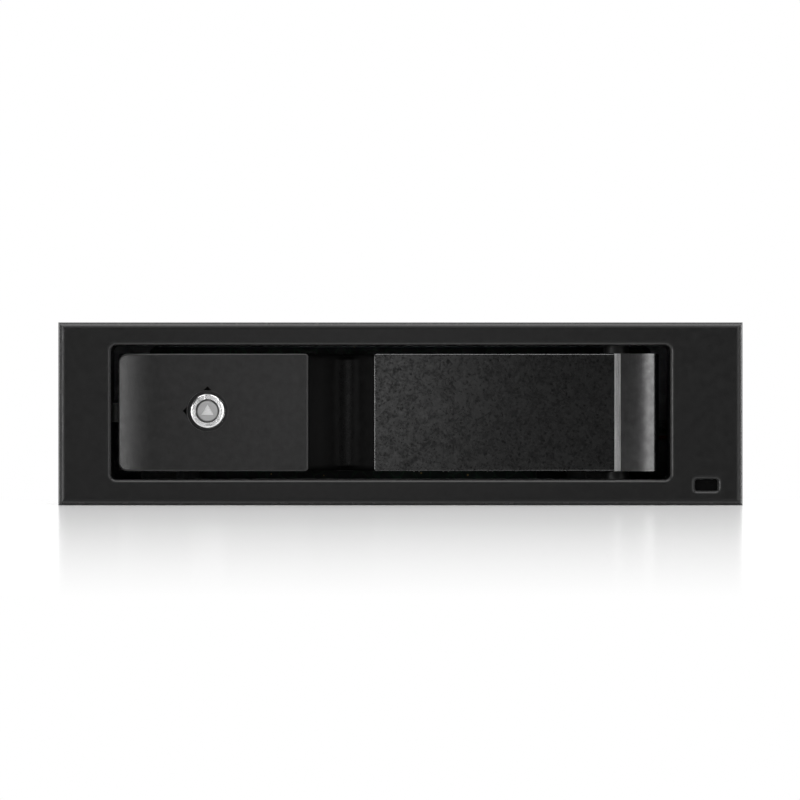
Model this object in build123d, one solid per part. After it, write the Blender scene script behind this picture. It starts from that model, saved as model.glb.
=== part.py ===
from build123d import *
import os
from math import cos, radians, sin, sqrt

# Hot swap cage that holds one 3.5 inch drive in a 5.25 inch bay, with a locking door on its front.
# X runs to the right, Y from the bezel's face to the rear and Z up, in millimetres.
# Pieces are drawn with the bezel's face at Y = 0, and export moves them so that the origin is
# at the middle of the footprint.

# Bay and body
BODY_WIDTH = 146.0
BODY_HEIGHT = 39.4
SHEET = 1.0
FIT = 0.3
BEZEL_OVERHANG = 1.5
BEZEL_RISE = 0.4
BEZEL_WIDTH = BODY_WIDTH + 2 * BEZEL_OVERHANG
BEZEL_HEIGHT = BODY_HEIGHT + BEZEL_RISE
BEZEL_DEPTH = 9.0
BEZEL_FRONT = 2.5
BEZEL_WALL = 1.2
BEZEL_EDGE_RADIUS = 1.5
REAR_SPACE = 10.0

# Opening in the bezel and the collar behind it
OPENING_LEFT_MARGIN = 11.5
OPENING_RIGHT_MARGIN = 15.8
OPENING_BOTTOM_MARGIN = 5.575
OPENING_TOP_MARGIN = 4.975
OPENING_CORNER = 1.2
OPENING_LIP = 0.9
COLLAR_WALL = 1.2
COLLAR_DEPTH = 15.0

# Door
DOOR_END_GAP = 1.825
DOOR_SIDE_GAP = 1.6
FACE_RECESS = 0.5
PANEL_THICKNESS = 3.0
DOOR_WALL = 1.6
LOCK_PANEL_WIDTH = 41.3
PANEL_CROWN = 1.6
SCOOP_WIDTH = 14.3
SCOOP_UNDERCUT = 3.0
SCOOP_DEPTH = 5.4
SCOOP_END_RADIUS = 1.4
TRIM_WIDTH = 1.4
BARREL_RADIUS = 9.0
BARREL_STEP = 1.3
BARREL_CURVE = 24.0
BARREL_EDGE = 1.8
BARREL_SHELL = 1.2
HINGE_INSET = 11.3
PIN_RADIUS = 1.2
KNUCKLE_RADIUS = 2.2
RUNNING_FIT = 0.05
BUSH_FLANGE_RADIUS = 2.8
BUSH_FLANGE = 1.6
BUSH_SLEEVE_RADIUS = 2.0
DOOR_SWING = 94.0

# Key lock
LOCK_INSET = 19.4
LOCK_RISE = 0.3
LOCK_RADIUS = 3.7
LOCK_PROUD = 0.2
LOCK_BORE_RADIUS = 2.6
LOCK_RECESS_RADIUS = 4.45
LOCK_RECESS = 0.8
LOCK_NOTCH = 1.4
LOCK_FACE_DEPTH = 1.0
LOCK_FACE_CHAMFER = 0.35
LOCK_STUD_RADIUS = 1.5
LOCK_STUD = 0.7
LOCK_SHOULDER_RADIUS = 4.9
LOCK_SHOULDER = 1.2
LOCK_NUT_WIDTH = 10.0
LOCK_NUT = 2.0
CAM_REACH = 2.875
CAM_WIDTH = 5.0
CAM_THICKNESS = 1.2
CAM_SQUARE = 3.4

# Sprung catch at the free end of the door
CATCH_THROW = 2.5
CATCH_TRAVEL = 1.6
CATCH_LENGTH = 8.9
CATCH_WIDTH = 4.0
CATCH_HEIGHT = 5.4
CATCH_NOSE_HEIGHT = 4.2
CATCH_NOSE_RADIUS = 1.6
CATCH_GAP = 0.2
CATCH_RIB = 1.2
CATCH_COVER = 1.0
SPRING_RADIUS = 1.3
SPRING_WIRE = 0.4
SPRING_SEAT = 3.0
SPRING_TURNS = 6
SPRING_SOLID = 3.2

# Drive and its rails
DRIVE_LENGTH = 147.0
DRIVE_LEFT_SPACE = 17.6
DRIVE_RIGHT_SPACE = 26.0
DRIVE_HEADROOM = 6.3
DRIVE_SIDE_GAP = 0.4
DRIVE_FLOOR = 7.0
RAIL_START = 20.0
RAIL_END_SHY = 2.2
RAIL_WALL = 2.0
RAIL_LEDGE = 6.0
RAIL_SHY = 2.1
RAIL_FOOT = 8.5
RAIL_FOOT_THICKNESS = 1.5
RAIL_LEAD = 3.0
BUMPER_RADIUS = 3.0
BUMPER_HEIGHT = 2.3
BUMPER_POST_ROOM = 0.7
BUMPER_LEFT_INSET = 10.5
BUMPER_RIGHT_SHARE = 0.66
SPRING_STRIP = 0.4
SPRING_STRIP_WIDTH = 6.0
SPRING_STRIP_SPAN = 16.0
SPRING_STRIP_END = 4.0
SPRING_STRIP_PRESS = 0.2
SPRING_STRIP_Z = 18.0

# Ejector driven by a crank on the hinge pin
CRANK_RADIUS = 6.5
CRANK_THICKNESS = 1.2
CRANK_HUB_RADIUS = 2.7
CRANK_CLEARANCE = 0.2
EJECTOR_THICKNESS = 1.3
EJECTOR_LIFT = 0.4
EJECTOR_WIDTH = 6.0
EJECTOR_TAB_HEIGHT = 16.0
YOKE_PLAY = 0.4
YOKE_WALL = 1.5
STUD_RADIUS = 1.5
STUD_HEAD_RADIUS = 2.6
STUD_HEAD = 0.9
STUD_FRONT_INSET = 25.0
STUD_REAR_INSET = 30.0

# Backplane and its connectors
BOARD_THICKNESS = 1.6
BOARD_SIDE_GAP = 11.0
BOARD_TOP_GAP = 2.4
BOARD_BOTTOM = 3.0
BOARD_VENT_START = 0.25
BOARD_VENT_END = 0.64
SOCKET_WIDTH = 42.0
SOCKET_HEIGHT = 7.6
SOCKET_GAP = 2.0
SOCKET_DATA_WIDTH = 11.0
SOCKET_SHY = 0.4
SOCKET_DEPTH = 7.4
SOCKET_INSET = 28.4
SOCKET_Z = 11.0
PORT_HEIGHT = 7.0
PORT_Z = 20.0
DATA_PORT_OFFSET = 19.0
DATA_PORT_WIDTH = 16.0
POWER_PORT_OFFSET = -9.0
POWER_PORT_WIDTH = 25.0
PORT_WALL = 1.1
TONGUE = 1.2
STANDOFF_WIDTH = 5.0
STANDOFF_INSET = 6.0
STANDOFF_LOW = 8.0
STANDOFF_DROP = 4.4

# Status window in the bezel
WINDOW_INSET = 7.95
WINDOW_Z = 4.4
WINDOW_WIDTH = 4.8
WINDOW_HEIGHT = 2.4
WINDOW_CORNER = 0.4
WINDOW_LIP = 1.0
LENS_RECESS = 1.6
LENS_FLANGE = 0.8
LIGHT_BOARD_Y = 8.0
LIGHT_BOARD_THICKNESS = 1.2
LIGHT_BOARD_WIDTH = 9.0
LIGHT_BOARD_HEIGHT = 17.0
RIBBON_THICKNESS = 0.3
RIBBON_WIDTH = 4.5
RIBBON_Z = 15.5
RIBBON_BEND = 7.0
RIBBON_INSET = 2.0

# Standard holes that fasten a 5.25 inch device
MOUNT_RADIUS = 1.25
MOUNT_FIRST = 47.4
MOUNT_SPACING = 79.25
MOUNT_LOW = 10.0
MOUNT_RISE = 11.84
MOUNT_BOTTOM_EDGE = 3.15
MOUNT_BURR_RADIUS = 2.2
MOUNT_BURR = 1.0

# Small fasteners and snap tabs
SCREW_RADIUS = 1.25
SCREW_HOLE = 1.6
SCREW_HEAD_RADIUS = 2.6
SCREW_HEAD = 1.6
SMALL_SCREW_RADIUS = 1.0
SMALL_SCREW_HEAD_RADIUS = 2.1
SMALL_SCREW_HEAD = 1.3
SCREW_BITE = 4.0
HANDLE_SCREW_LEFT_SHARE = 0.16
HANDLE_SCREW_RIGHT_SHARE = 0.86
HANDLE_RIB_SHARE = 0.31
PANEL_SCREW_INSET = 5.5
PANEL_SCREW_EDGE = 4.8
RAIL_SCREW_INSET = 12.0
COVER_SCREW_INSET = 23.0
COVER_FLANGE_SHARE = 5 / 24
COVER_FLANGE_SHY = 12.0
SIDE_FLANGE_LEAD = 20.0
SIDE_FLANGE_SHY = 25.0
SNAP_THICKNESS = 1.6
SNAP_LENGTH = 14.0
SNAP_HEIGHT = 7.0
SNAP_LOW = 12.0
SNAP_HIGH = 27.0
BARB_LENGTH = 3.0

# Vents
VENT_WIDTH = 3.0
VENT_LENGTH = 22.0
VENT_PITCH = 7.0

# Places worked out from the sizes above
OPENING_LEFT = OPENING_LEFT_MARGIN - BEZEL_WIDTH / 2
OPENING_RIGHT = BEZEL_WIDTH / 2 - OPENING_RIGHT_MARGIN
OPENING_BOTTOM = OPENING_BOTTOM_MARGIN
OPENING_TOP = BEZEL_HEIGHT - OPENING_TOP_MARGIN
OPENING_WIDTH = OPENING_RIGHT - OPENING_LEFT
OPENING_X = (OPENING_LEFT + OPENING_RIGHT) / 2
OPENING_Z = (OPENING_BOTTOM + OPENING_TOP) / 2
COLLAR_BOTTOM = OPENING_BOTTOM - COLLAR_WALL
COLLAR_TOP = OPENING_TOP + COLLAR_WALL
DOOR_LEFT = OPENING_LEFT + DOOR_SIDE_GAP
DOOR_BOTTOM = OPENING_BOTTOM + DOOR_END_GAP
DOOR_TOP = OPENING_TOP - DOOR_END_GAP
DOOR_HEIGHT = DOOR_TOP - DOOR_BOTTOM
HINGE_X = OPENING_RIGHT - HINGE_INSET
BARREL_FRONT = FACE_RECESS + BARREL_STEP
HINGE_Y = BARREL_FRONT + BARREL_RADIUS
DOOR_FRONT = FACE_RECESS + PANEL_THICKNESS
DOOR_BACK = HINGE_Y - CATCH_GAP
CAVITY_FRONT = DOOR_FRONT + DOOR_WALL
PANEL_RIGHT = DOOR_LEFT + LOCK_PANEL_WIDTH
HANDLE_LEFT = PANEL_RIGHT + SCOOP_WIDTH
HOLLOW_LEFT = HANDLE_LEFT + SCOOP_UNDERCUT + DOOR_WALL
HOLLOW_RIGHT = HINGE_X - KNUCKLE_RADIUS - DOOR_WALL
HOLLOW_SPAN = HOLLOW_RIGHT - HOLLOW_LEFT
LOCK_X = DOOR_LEFT + LOCK_INSET
LOCK_Z = OPENING_Z + LOCK_RISE
CAM_LENGTH = OPENING_TOP - LOCK_Z + CAM_REACH
WINDOW_X = BEZEL_WIDTH / 2 - WINDOW_INSET
TRIM_LEFT = HINGE_X - TRIM_WIDTH * 0.6
TRIM_RIGHT = TRIM_LEFT + TRIM_WIDTH
BODY_HALF = BODY_WIDTH / 2
WALL_INNER = BODY_HALF - SHEET
COVER_BOTTOM = BODY_HEIGHT - SHEET
COVER_FLANGE = COVER_BOTTOM * COVER_FLANGE_SHARE
BODY_FRONT = BEZEL_DEPTH
DRIVE_RIGHT = BODY_HALF - DRIVE_RIGHT_SPACE
DRIVE_LEFT = DRIVE_LEFT_SPACE - BODY_HALF
DRIVE_WIDTH = DRIVE_RIGHT - DRIVE_LEFT - 2 * DRIVE_SIDE_GAP
DRIVE_HEIGHT = BODY_HEIGHT - DRIVE_FLOOR - DRIVE_HEADROOM
DRIVE_FRONT = DOOR_BACK + BUMPER_HEIGHT + FIT
DRIVE_REAR = DRIVE_FRONT + DRIVE_LENGTH
RAIL_END = DRIVE_REAR - RAIL_END_SHY
SOCKET_FRONT = DRIVE_REAR + SOCKET_SHY
SOCKET_X = DRIVE_LEFT + SOCKET_INSET
DATA_PORT_X = SOCKET_X + DATA_PORT_OFFSET
POWER_PORT_X = SOCKET_X + POWER_PORT_OFFSET
BOARD_FRONT = SOCKET_FRONT + SOCKET_DEPTH
BOARD_WIDTH = BODY_WIDTH - 2 * BOARD_SIDE_GAP
BOARD_HEIGHT = COVER_BOTTOM - BOARD_TOP_GAP - BOARD_BOTTOM
BODY_REAR = BOARD_FRONT + REAR_SPACE
STANDOFF_X = BOARD_WIDTH / 2 - STANDOFF_INSET
STANDOFF_HIGH = COVER_BOTTOM - COVER_FLANGE - STANDOFF_DROP
EJECTOR_BOTTOM = SHEET + EJECTOR_LIFT
EJECTOR_TOP = EJECTOR_BOTTOM + EJECTOR_THICKNESS
CRANK_BOTTOM = EJECTOR_TOP + CRANK_CLEARANCE
CRANK_TOP = CRANK_BOTTOM + CRANK_THICKNESS
CRANK_REST = 180 - DOOR_SWING / 2
CRANK_X = HINGE_X + CRANK_RADIUS * cos(radians(CRANK_REST))
CRANK_Y = HINGE_Y + CRANK_RADIUS * sin(radians(CRANK_REST))
EJECT_STROKE = 2 * CRANK_RADIUS * sin(radians(DOOR_SWING / 2))
YOKE_HALF = PIN_RADIUS + YOKE_PLAY
YOKE_LEFT = HINGE_X - CRANK_RADIUS - YOKE_HALF
YOKE_RIGHT = CRANK_X + YOKE_HALF
EJECTOR_RIGHT = DRIVE_RIGHT - RAIL_LEDGE - YOKE_WALL
EJECTOR_LEFT = EJECTOR_RIGHT - EJECTOR_WIDTH
BOARD_REAR = BOARD_FRONT + BOARD_THICKNESS
REAR_WALL_FRONT = BODY_REAR - SHEET
CAM_FRONT = DOOR_BACK + FIT
CAM_BACK = CAM_FRONT + CAM_THICKNESS
LOCK_FRONT = FACE_RECESS - LOCK_PROUD
LOCK_END = DOOR_BACK - 2 * LOCK_SHOULDER / 3
CATCH_FRONT = CAVITY_FRONT + CATCH_GAP
CATCH_TIP = DOOR_LEFT - CATCH_THROW
CATCH_HEEL = CATCH_TIP + CATCH_LENGTH
CATCH_STOP = CATCH_HEEL + CATCH_TRAVEL + SPRING_SOLID
CATCH_Z = OPENING_Z
CATCH_GUIDE_HALF = CATCH_HEIGHT / 2 + CATCH_GAP + CATCH_RIB
BUMPER_POST_RADIUS = (DOOR_HEIGHT / 2 - CATCH_GUIDE_HALF - BUMPER_POST_ROOM) / 2
BUMPER_RISE = CATCH_GUIDE_HALF + FIT + BUMPER_POST_RADIUS
BUMPER_X = (DOOR_LEFT + BUMPER_LEFT_INSET, HOLLOW_LEFT + BUMPER_RIGHT_SHARE * HOLLOW_SPAN)
BUMPER_Z = (CATCH_Z - BUMPER_RISE, CATCH_Z + BUMPER_RISE)
HANDLE_SCREW_SHARES = (HANDLE_SCREW_LEFT_SHARE, HANDLE_SCREW_RIGHT_SHARE)
HANDLE_SCREW_X = [HOLLOW_LEFT + part * HOLLOW_SPAN for part in HANDLE_SCREW_SHARES]
HANDLE_RIB_X = HOLLOW_LEFT + HANDLE_RIB_SHARE * HOLLOW_SPAN
PANEL_SCREW_Z = (DOOR_BOTTOM + PANEL_SCREW_EDGE, DOOR_TOP - PANEL_SCREW_EDGE)
PANEL_SCREW_X = PANEL_RIGHT - PANEL_SCREW_INSET
MOUNT_Y = (BODY_FRONT + MOUNT_FIRST, BODY_FRONT + MOUNT_FIRST + MOUNT_SPACING)
MOUNT_Z = (MOUNT_LOW, MOUNT_LOW + MOUNT_RISE)
RAIL_SCREW_Y = (RAIL_START + RAIL_SCREW_INSET, RAIL_END - RAIL_SCREW_INSET)
RAIL_SPRING_Y = (RAIL_START + (RAIL_END - RAIL_START) * 0.3, RAIL_START + (RAIL_END - RAIL_START) * 0.7)
STUD_Y = (RAIL_START + STUD_FRONT_INSET, RAIL_END - STUD_REAR_INSET)
STANDOFF_PLACES = [(x, z) for x in (-STANDOFF_X, STANDOFF_X) for z in (STANDOFF_LOW, STANDOFF_HIGH)]
COVER_SCREW_PITCH = BODY_HALF - COVER_SCREW_INSET
COVER_SCREW_X = (-COVER_SCREW_PITCH, 0.0, COVER_SCREW_PITCH)
COVER_SCREW_Z = COVER_BOTTOM - COVER_FLANGE / 2
TOTAL_DEPTH = BODY_REAR + SCREW_HEAD


def block(x0, x1, y0, y1, z0, z1):
    """A box between two corners."""
    middle = Pos((x0 + x1) / 2, (y0 + y1) / 2, (z0 + z1) / 2)
    return middle * Box(x1 - x0, y1 - y0, z1 - z0)


def slab(sketch, y0, y1):
    """A front view, drawn with x to the right and z up, made solid from depth y0 to y1."""
    return extrude(Plane.XZ.offset(-y1) * sketch, amount=y1 - y0)


def plan(sketch, z0, z1):
    """A plan, drawn from above with y to the rear, made solid from height z0 to z1."""
    return extrude(Pos(0, 0, z0) * sketch, amount=z1 - z0)


def rod_y(x, z, radius, y0, y1):
    """A round bar along Y."""
    return slab(Pos(x, z) * Circle(radius), y0, y1)


def rod_z(x, y, radius, z0, z1):
    """A round bar along Z."""
    return plan(Pos(x, y) * Circle(radius), z0, z1)


def rod_x(y, z, radius, x0, x1):
    """A round bar along X."""
    return Pos((x0 + x1) / 2, y, z) * Rot(0, 90, 0) * Cylinder(radius, x1 - x0)


def rectangle(x0, x1, y0, y1, corner=0.0):
    """A flat rectangle between two corners, with round corners if asked."""
    width, height = x1 - x0, y1 - y0
    flat = RectangleRounded(width, height, corner) if corner else Rectangle(width, height)
    return Pos((x0 + x1) / 2, (y0 + y1) / 2) * flat


def screw_y(x, z, radius, head_radius, head, face, length, towards):
    """A pan head screw along Y. Its head sits on the plane at face, and its shank goes towards +1 or -1."""
    shank = rod_y(x, z, radius, *sorted((face, face + towards * length)))
    top = rod_y(x, z, head_radius, *sorted((face, face - towards * head)))
    rim = top.faces().sort_by(Axis.Y)[0 if towards > 0 else -1].edges()
    return fillet(rim, head / 2.5) + shank


def bezel():
    """Front moulding: a shallow tray with a collar round the opening, snap tabs and a status window."""
    half = BEZEL_WIDTH / 2
    tray = block(-half, half, 0, BEZEL_DEPTH, 0, BEZEL_HEIGHT)
    tray = fillet(tray.faces().sort_by(Axis.Y)[0].edges(), BEZEL_EDGE_RADIUS)
    inner = half - BEZEL_WALL
    tray -= block(-inner, inner, BEZEL_FRONT, BEZEL_DEPTH, BEZEL_WALL, BEZEL_HEIGHT - BEZEL_WALL)
    collar = rectangle(
        OPENING_LEFT - COLLAR_WALL,
        OPENING_RIGHT + COLLAR_WALL,
        COLLAR_BOTTOM,
        COLLAR_TOP,
        OPENING_CORNER + COLLAR_WALL,
    )
    tray += slab(collar, BEZEL_FRONT / 2, COLLAR_DEPTH)
    hole = rectangle(OPENING_LEFT, OPENING_RIGHT, OPENING_BOTTOM, OPENING_TOP, OPENING_CORNER)
    tray -= slab(hole, -1, COLLAR_DEPTH + 1)
    tray = fillet(front_rim(tray, OPENING_X, OPENING_WIDTH), OPENING_LIP)
    tray -= slab(Pos(WINDOW_X, WINDOW_Z) * window_outline(), -1, BEZEL_FRONT + 1)
    tray = fillet(front_rim(tray, WINDOW_X, WINDOW_WIDTH), WINDOW_LIP)
    tray -= bush_seats() + cam_slot() + catch_window()
    for side in (-1, 1):
        for z in (SNAP_LOW, SNAP_HIGH):
            tray += snap_tab(side, z)
    return tray


def front_rim(solid, middle, width):
    """The edges of a hole in the bezel's front face, picked by the hole's middle and width."""
    reach = width / 2 + 1e-3
    front = [e for e in solid.edges() if abs(e.bounding_box().max.Y) < 1e-4]
    return [e for e in front if abs(e.center().X - middle) < reach and is_off_border(e)]


def is_off_border(edge):
    """Whether an edge of the front face belongs to a hole and not to the bezel's own border."""
    low, high = edge.bounding_box().min.Z, edge.bounding_box().max.Z
    border = BEZEL_EDGE_RADIUS + 1e-3
    return low > border and high < BEZEL_HEIGHT - border


def bush_seats():
    """Round holes in the collar's top and bottom walls that take the hinge bushes."""
    radius = BUSH_SLEEVE_RADIUS + RUNNING_FIT
    low = rod_z(HINGE_X, HINGE_Y, radius, COLLAR_BOTTOM - 1, OPENING_BOTTOM + 1)
    high = rod_z(HINGE_X, HINGE_Y, radius, OPENING_TOP - 1, COLLAR_TOP + 1)
    return low + high


def cam_slot():
    """Slot in the collar's top wall that the lock cam turns into."""
    rise = OPENING_TOP - LOCK_Z
    reach = sqrt(CAM_LENGTH**2 - rise**2) + CAM_WIDTH / 2 + FIT
    left = LOCK_X - CAM_WIDTH / 2 - FIT
    return block(left, LOCK_X + reach, CAM_FRONT - FIT, CAM_BACK + FIT, OPENING_TOP - 1, COLLAR_TOP + 1)


def catch_window():
    """Window in the collar's left wall that keeps the sprung catch."""
    half = CATCH_NOSE_HEIGHT / 2 + FIT
    back = CATCH_FRONT + CATCH_WIDTH + FIT
    left = OPENING_LEFT - COLLAR_WALL - 1
    return block(left, OPENING_LEFT + 1, CATCH_FRONT - FIT, back, CATCH_Z - half, CATCH_Z + half)


def window_outline():
    """Outline of the status window, round its own middle."""
    return RectangleRounded(WINDOW_WIDTH, WINDOW_HEIGHT, WINDOW_CORNER)


def snap_tab(side, z):
    """Tab behind the bezel along the pan's side wall, with a barb that fills the wall's window."""
    low, high = z - SNAP_HEIGHT / 2, z + SNAP_HEIGHT / 2
    end = BEZEL_DEPTH + SNAP_LENGTH
    outer, inner = WALL_INNER, WALL_INNER - SNAP_THICKNESS
    tab = rectangle(inner, outer, BEZEL_FRONT / 2, end)
    barb_front = end - 2 * BARB_LENGTH
    tip = (outer + SHEET * 0.8, barb_front)
    barb = make_face(Polyline((outer, barb_front), tip, (outer, barb_front + BARB_LENGTH), close=True))
    solid = plan(tab, low, high) + plan(barb, low + FIT, high - FIT)
    return solid if side > 0 else mirror(solid, about=Plane.YZ)


def slot_y(x, y, width, length):
    """A flat round-ended slot that lies along the sketch's second axis."""
    return Pos(x, y) * Rot(0, 0, 90) * SlotOverall(length, width)


def mount_holes(add):
    """The standard screw holes in the sides and bottom, as burrs to add or as bores to cut."""
    radius = MOUNT_BURR_RADIUS if add else MOUNT_RADIUS
    depth = SHEET + MOUNT_BURR
    cut = 0 if add else 1
    holes = []
    for y in MOUNT_Y:
        for side in (-1, 1):
            ends = sorted((side * (BODY_HALF + cut), side * (BODY_HALF - depth - cut)))
            holes += [rod_x(y, z, radius, *ends) for z in MOUNT_Z]
            holes.append(rod_z(side * (BODY_HALF - MOUNT_BOTTOM_EDGE), y, radius, -cut, depth + cut))
    return Part() + holes


def pan():
    """Folded sheet body: floor, side walls and rear wall, with vents, ports and mounting holes."""
    body = block(-BODY_HALF, BODY_HALF, BODY_FRONT, BODY_REAR, 0, COVER_BOTTOM)
    body = fillet(body.edges().filter_by(Axis.Y).group_by(Axis.Z)[0], SHEET)
    body -= block(-WALL_INNER, WALL_INNER, BODY_FRONT - 1, REAR_WALL_FRONT, SHEET, COVER_BOTTOM + 1)
    burrs = mount_holes(add=True)
    body += burrs & block(-BODY_HALF, BODY_HALF, BODY_FRONT, BODY_REAR, SHEET, COVER_BOTTOM)
    body -= mount_holes(add=False)
    barb_end = BEZEL_DEPTH + SNAP_LENGTH - BARB_LENGTH
    for z in (SNAP_LOW, SNAP_HIGH):
        low, high = z - SNAP_HEIGHT / 2, z + SNAP_HEIGHT / 2
        front = barb_end - BARB_LENGTH - FIT
        body -= block(-BODY_HALF - 1, BODY_HALF + 1, front, barb_end + FIT, low, high)
    for x, y in rail_screw_places():
        body -= rod_z(x, y, SCREW_RADIUS + RUNNING_FIT, -1, SHEET + 1)
    for x, y in ejector_stud_places():
        body -= rod_z(x, y, STUD_RADIUS + RUNNING_FIT, -1, SHEET + 1)
    return body - rear_cuts()


def rear_cuts():
    """Holes in the rear wall: both ports, the cover's screws, the standoffs' shanks and a row of vents."""
    low, high = PORT_Z - PORT_HEIGHT / 2 - FIT, PORT_Z + PORT_HEIGHT / 2 + FIT
    y0, y1 = REAR_WALL_FRONT - 1, BODY_REAR + 1
    cuts = []
    for x, width in ((DATA_PORT_X, DATA_PORT_WIDTH), (POWER_PORT_X, POWER_PORT_WIDTH)):
        cuts.append(block(x - width / 2 - FIT, x + width / 2 + FIT, y0, y1, low, high))
    cuts += [rod_y(x, COVER_SCREW_Z, SCREW_HOLE, y0, y1) for x in COVER_SCREW_X]
    first = DATA_PORT_X + DATA_PORT_WIDTH / 2 + VENT_PITCH
    count = int((STANDOFF_X - STANDOFF_WIDTH - first) / VENT_PITCH) + 1
    low = (SHEET + COVER_BOTTOM - COVER_FLANGE) / 2
    for i in range(count):
        vent = slot_y(first + i * VENT_PITCH, low, VENT_WIDTH, VENT_LENGTH)
        cuts.append(slab(vent, y0, y1))
    return Part() + cuts


def top_cover():
    """Flat lid with a row of vents, side flanges inside the pan and a rear flange for its screws."""
    lid = block(-BODY_HALF, BODY_HALF, BODY_FRONT, BODY_REAR, COVER_BOTTOM, BODY_HEIGHT)
    lid = fillet(lid.edges().filter_by(Axis.Y).group_by(Axis.Z)[-1], SHEET * 0.8)
    low = COVER_BOTTOM - COVER_FLANGE
    for side in (-1, 1):
        ends = sorted((side * WALL_INNER, side * (WALL_INNER - SHEET)))
        lid += block(*ends, MOUNT_Y[0] - SIDE_FLANGE_LEAD, BODY_REAR - SIDE_FLANGE_SHY, low, COVER_BOTTOM)
    edge = WALL_INNER - COVER_FLANGE_SHY
    lid += block(-edge, edge, REAR_WALL_FRONT - SHEET, REAR_WALL_FRONT, low, COVER_BOTTOM)
    for x in COVER_SCREW_X:
        lid -= rod_y(x, COVER_SCREW_Z, SCREW_RADIUS + RUNNING_FIT, REAR_WALL_FRONT - 2 * SHEET, BODY_REAR)
    count = int((DRIVE_WIDTH - 2 * VENT_PITCH) / VENT_PITCH)
    first = (DRIVE_LEFT + DRIVE_RIGHT) / 2 - (count - 1) * VENT_PITCH / 2
    for i in range(count):
        for y in (BODY_REAR * 0.36, BODY_REAR * 0.72):
            vent = slot_y(first + i * VENT_PITCH, y, VENT_WIDTH, VENT_LENGTH)
            lid -= plan(vent, COVER_BOTTOM - 1, BODY_HEIGHT + 1)
    return lid


def rail_screw_places():
    """Where the rails' feet are screwed to the floor, in plan."""
    left = DRIVE_LEFT - RAIL_WALL - RAIL_FOOT / 2
    right = DRIVE_RIGHT + RAIL_WALL + RAIL_FOOT / 2
    return [(x, y) for x in (left, right) for y in RAIL_SCREW_Y]


def beside_drive(solid, side):
    """Put a solid, drawn with the drive's right side at x = 0, beside the drive's left or right side."""
    if side < 0:
        return Pos(DRIVE_LEFT, 0, 0) * mirror(solid, about=Plane.YZ)
    return Pos(DRIVE_RIGHT, 0, 0) * solid


def drive_rail(side):
    """Moulded guide for one side of the drive: ledge, wall with a flared front, hollow base and foot."""
    top = DRIVE_FLOOR + DRIVE_HEIGHT - RAIL_SHY
    shelf = DRIVE_FLOOR - RAIL_FOOT_THICKNESS
    section = [
        rectangle(0, RAIL_WALL, SHEET, top),
        rectangle(-RAIL_LEDGE, RAIL_WALL, shelf, DRIVE_FLOOR),
        rectangle(-RAIL_LEDGE, RAIL_FOOT_THICKNESS - RAIL_LEDGE, SHEET, DRIVE_FLOOR),
        rectangle(0, RAIL_WALL + RAIL_FOOT, SHEET, SHEET + RAIL_FOOT_THICKNESS),
    ]
    rail = slab(Sketch() + section, RAIL_START, RAIL_END)
    corners = [(0, RAIL_START), (RAIL_WALL / 2, RAIL_START), (0, RAIL_START + RAIL_LEAD)]
    rail -= plan(make_face(Polyline(*corners, close=True)), DRIVE_FLOOR, top + 1)
    half = SPRING_STRIP_WIDTH / 2 + FIT
    for y in RAIL_SPRING_Y:
        ends = (y - SPRING_STRIP_SPAN / 2 - FIT, y + SPRING_STRIP_SPAN / 2 + FIT)
        rail -= block(-1, RAIL_WALL + 1, *ends, SPRING_STRIP_Z - half, SPRING_STRIP_Z + half)
    for y in RAIL_SCREW_Y:
        rail -= rod_z(RAIL_WALL + RAIL_FOOT / 2, y, SCREW_HOLE, 0, SHEET + RAIL_FOOT_THICKNESS + 1)
    return beside_drive(rail, side)


def strip(points, radius, thickness, width, z):
    """A flat band on edge that follows a route drawn in plan, with round bends."""
    route = FilletPolyline(*points, radius=radius)
    start = Plane(route @ 0, x_dir=Vector(route % 0).cross(Vector(0, 0, 1)), z_dir=route % 0)
    return Pos(0, 0, z) * sweep(start * Rectangle(thickness, width), path=route)


def rail_springs():
    """Bowed leaf springs whose ends lie on the rails' outer faces and whose middles press on the drive."""
    seat = RAIL_WALL + SPRING_STRIP / 2
    reach = SPRING_STRIP / 2 - SPRING_STRIP_PRESS
    half = SPRING_STRIP_SPAN / 2
    springs = []
    for side in (-1, 1):
        for y in RAIL_SPRING_Y:
            bend = [(half + SPRING_STRIP_END, seat), (half, seat), (half / 3, reach)]
            route = [(x, y - along) for along, x in bend] + [(x, y + along) for along, x in reversed(bend)]
            leaf = strip(route, 1.0, SPRING_STRIP, SPRING_STRIP_WIDTH, SPRING_STRIP_Z)
            springs.append(beside_drive(leaf, side))
    return springs


def rail_screws():
    """Pan head screws through the rails' feet."""
    seat = SHEET + RAIL_FOOT_THICKNESS
    screws = []
    for x, y in rail_screw_places():
        head = rod_z(x, y, SCREW_HEAD_RADIUS, seat, seat + SCREW_HEAD)
        head = fillet(head.faces().sort_by(Axis.Z)[-1].edges(), SCREW_HEAD / 2.5)
        screws.append(head + rod_z(x, y, SCREW_RADIUS, 0, seat))
    return screws


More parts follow.
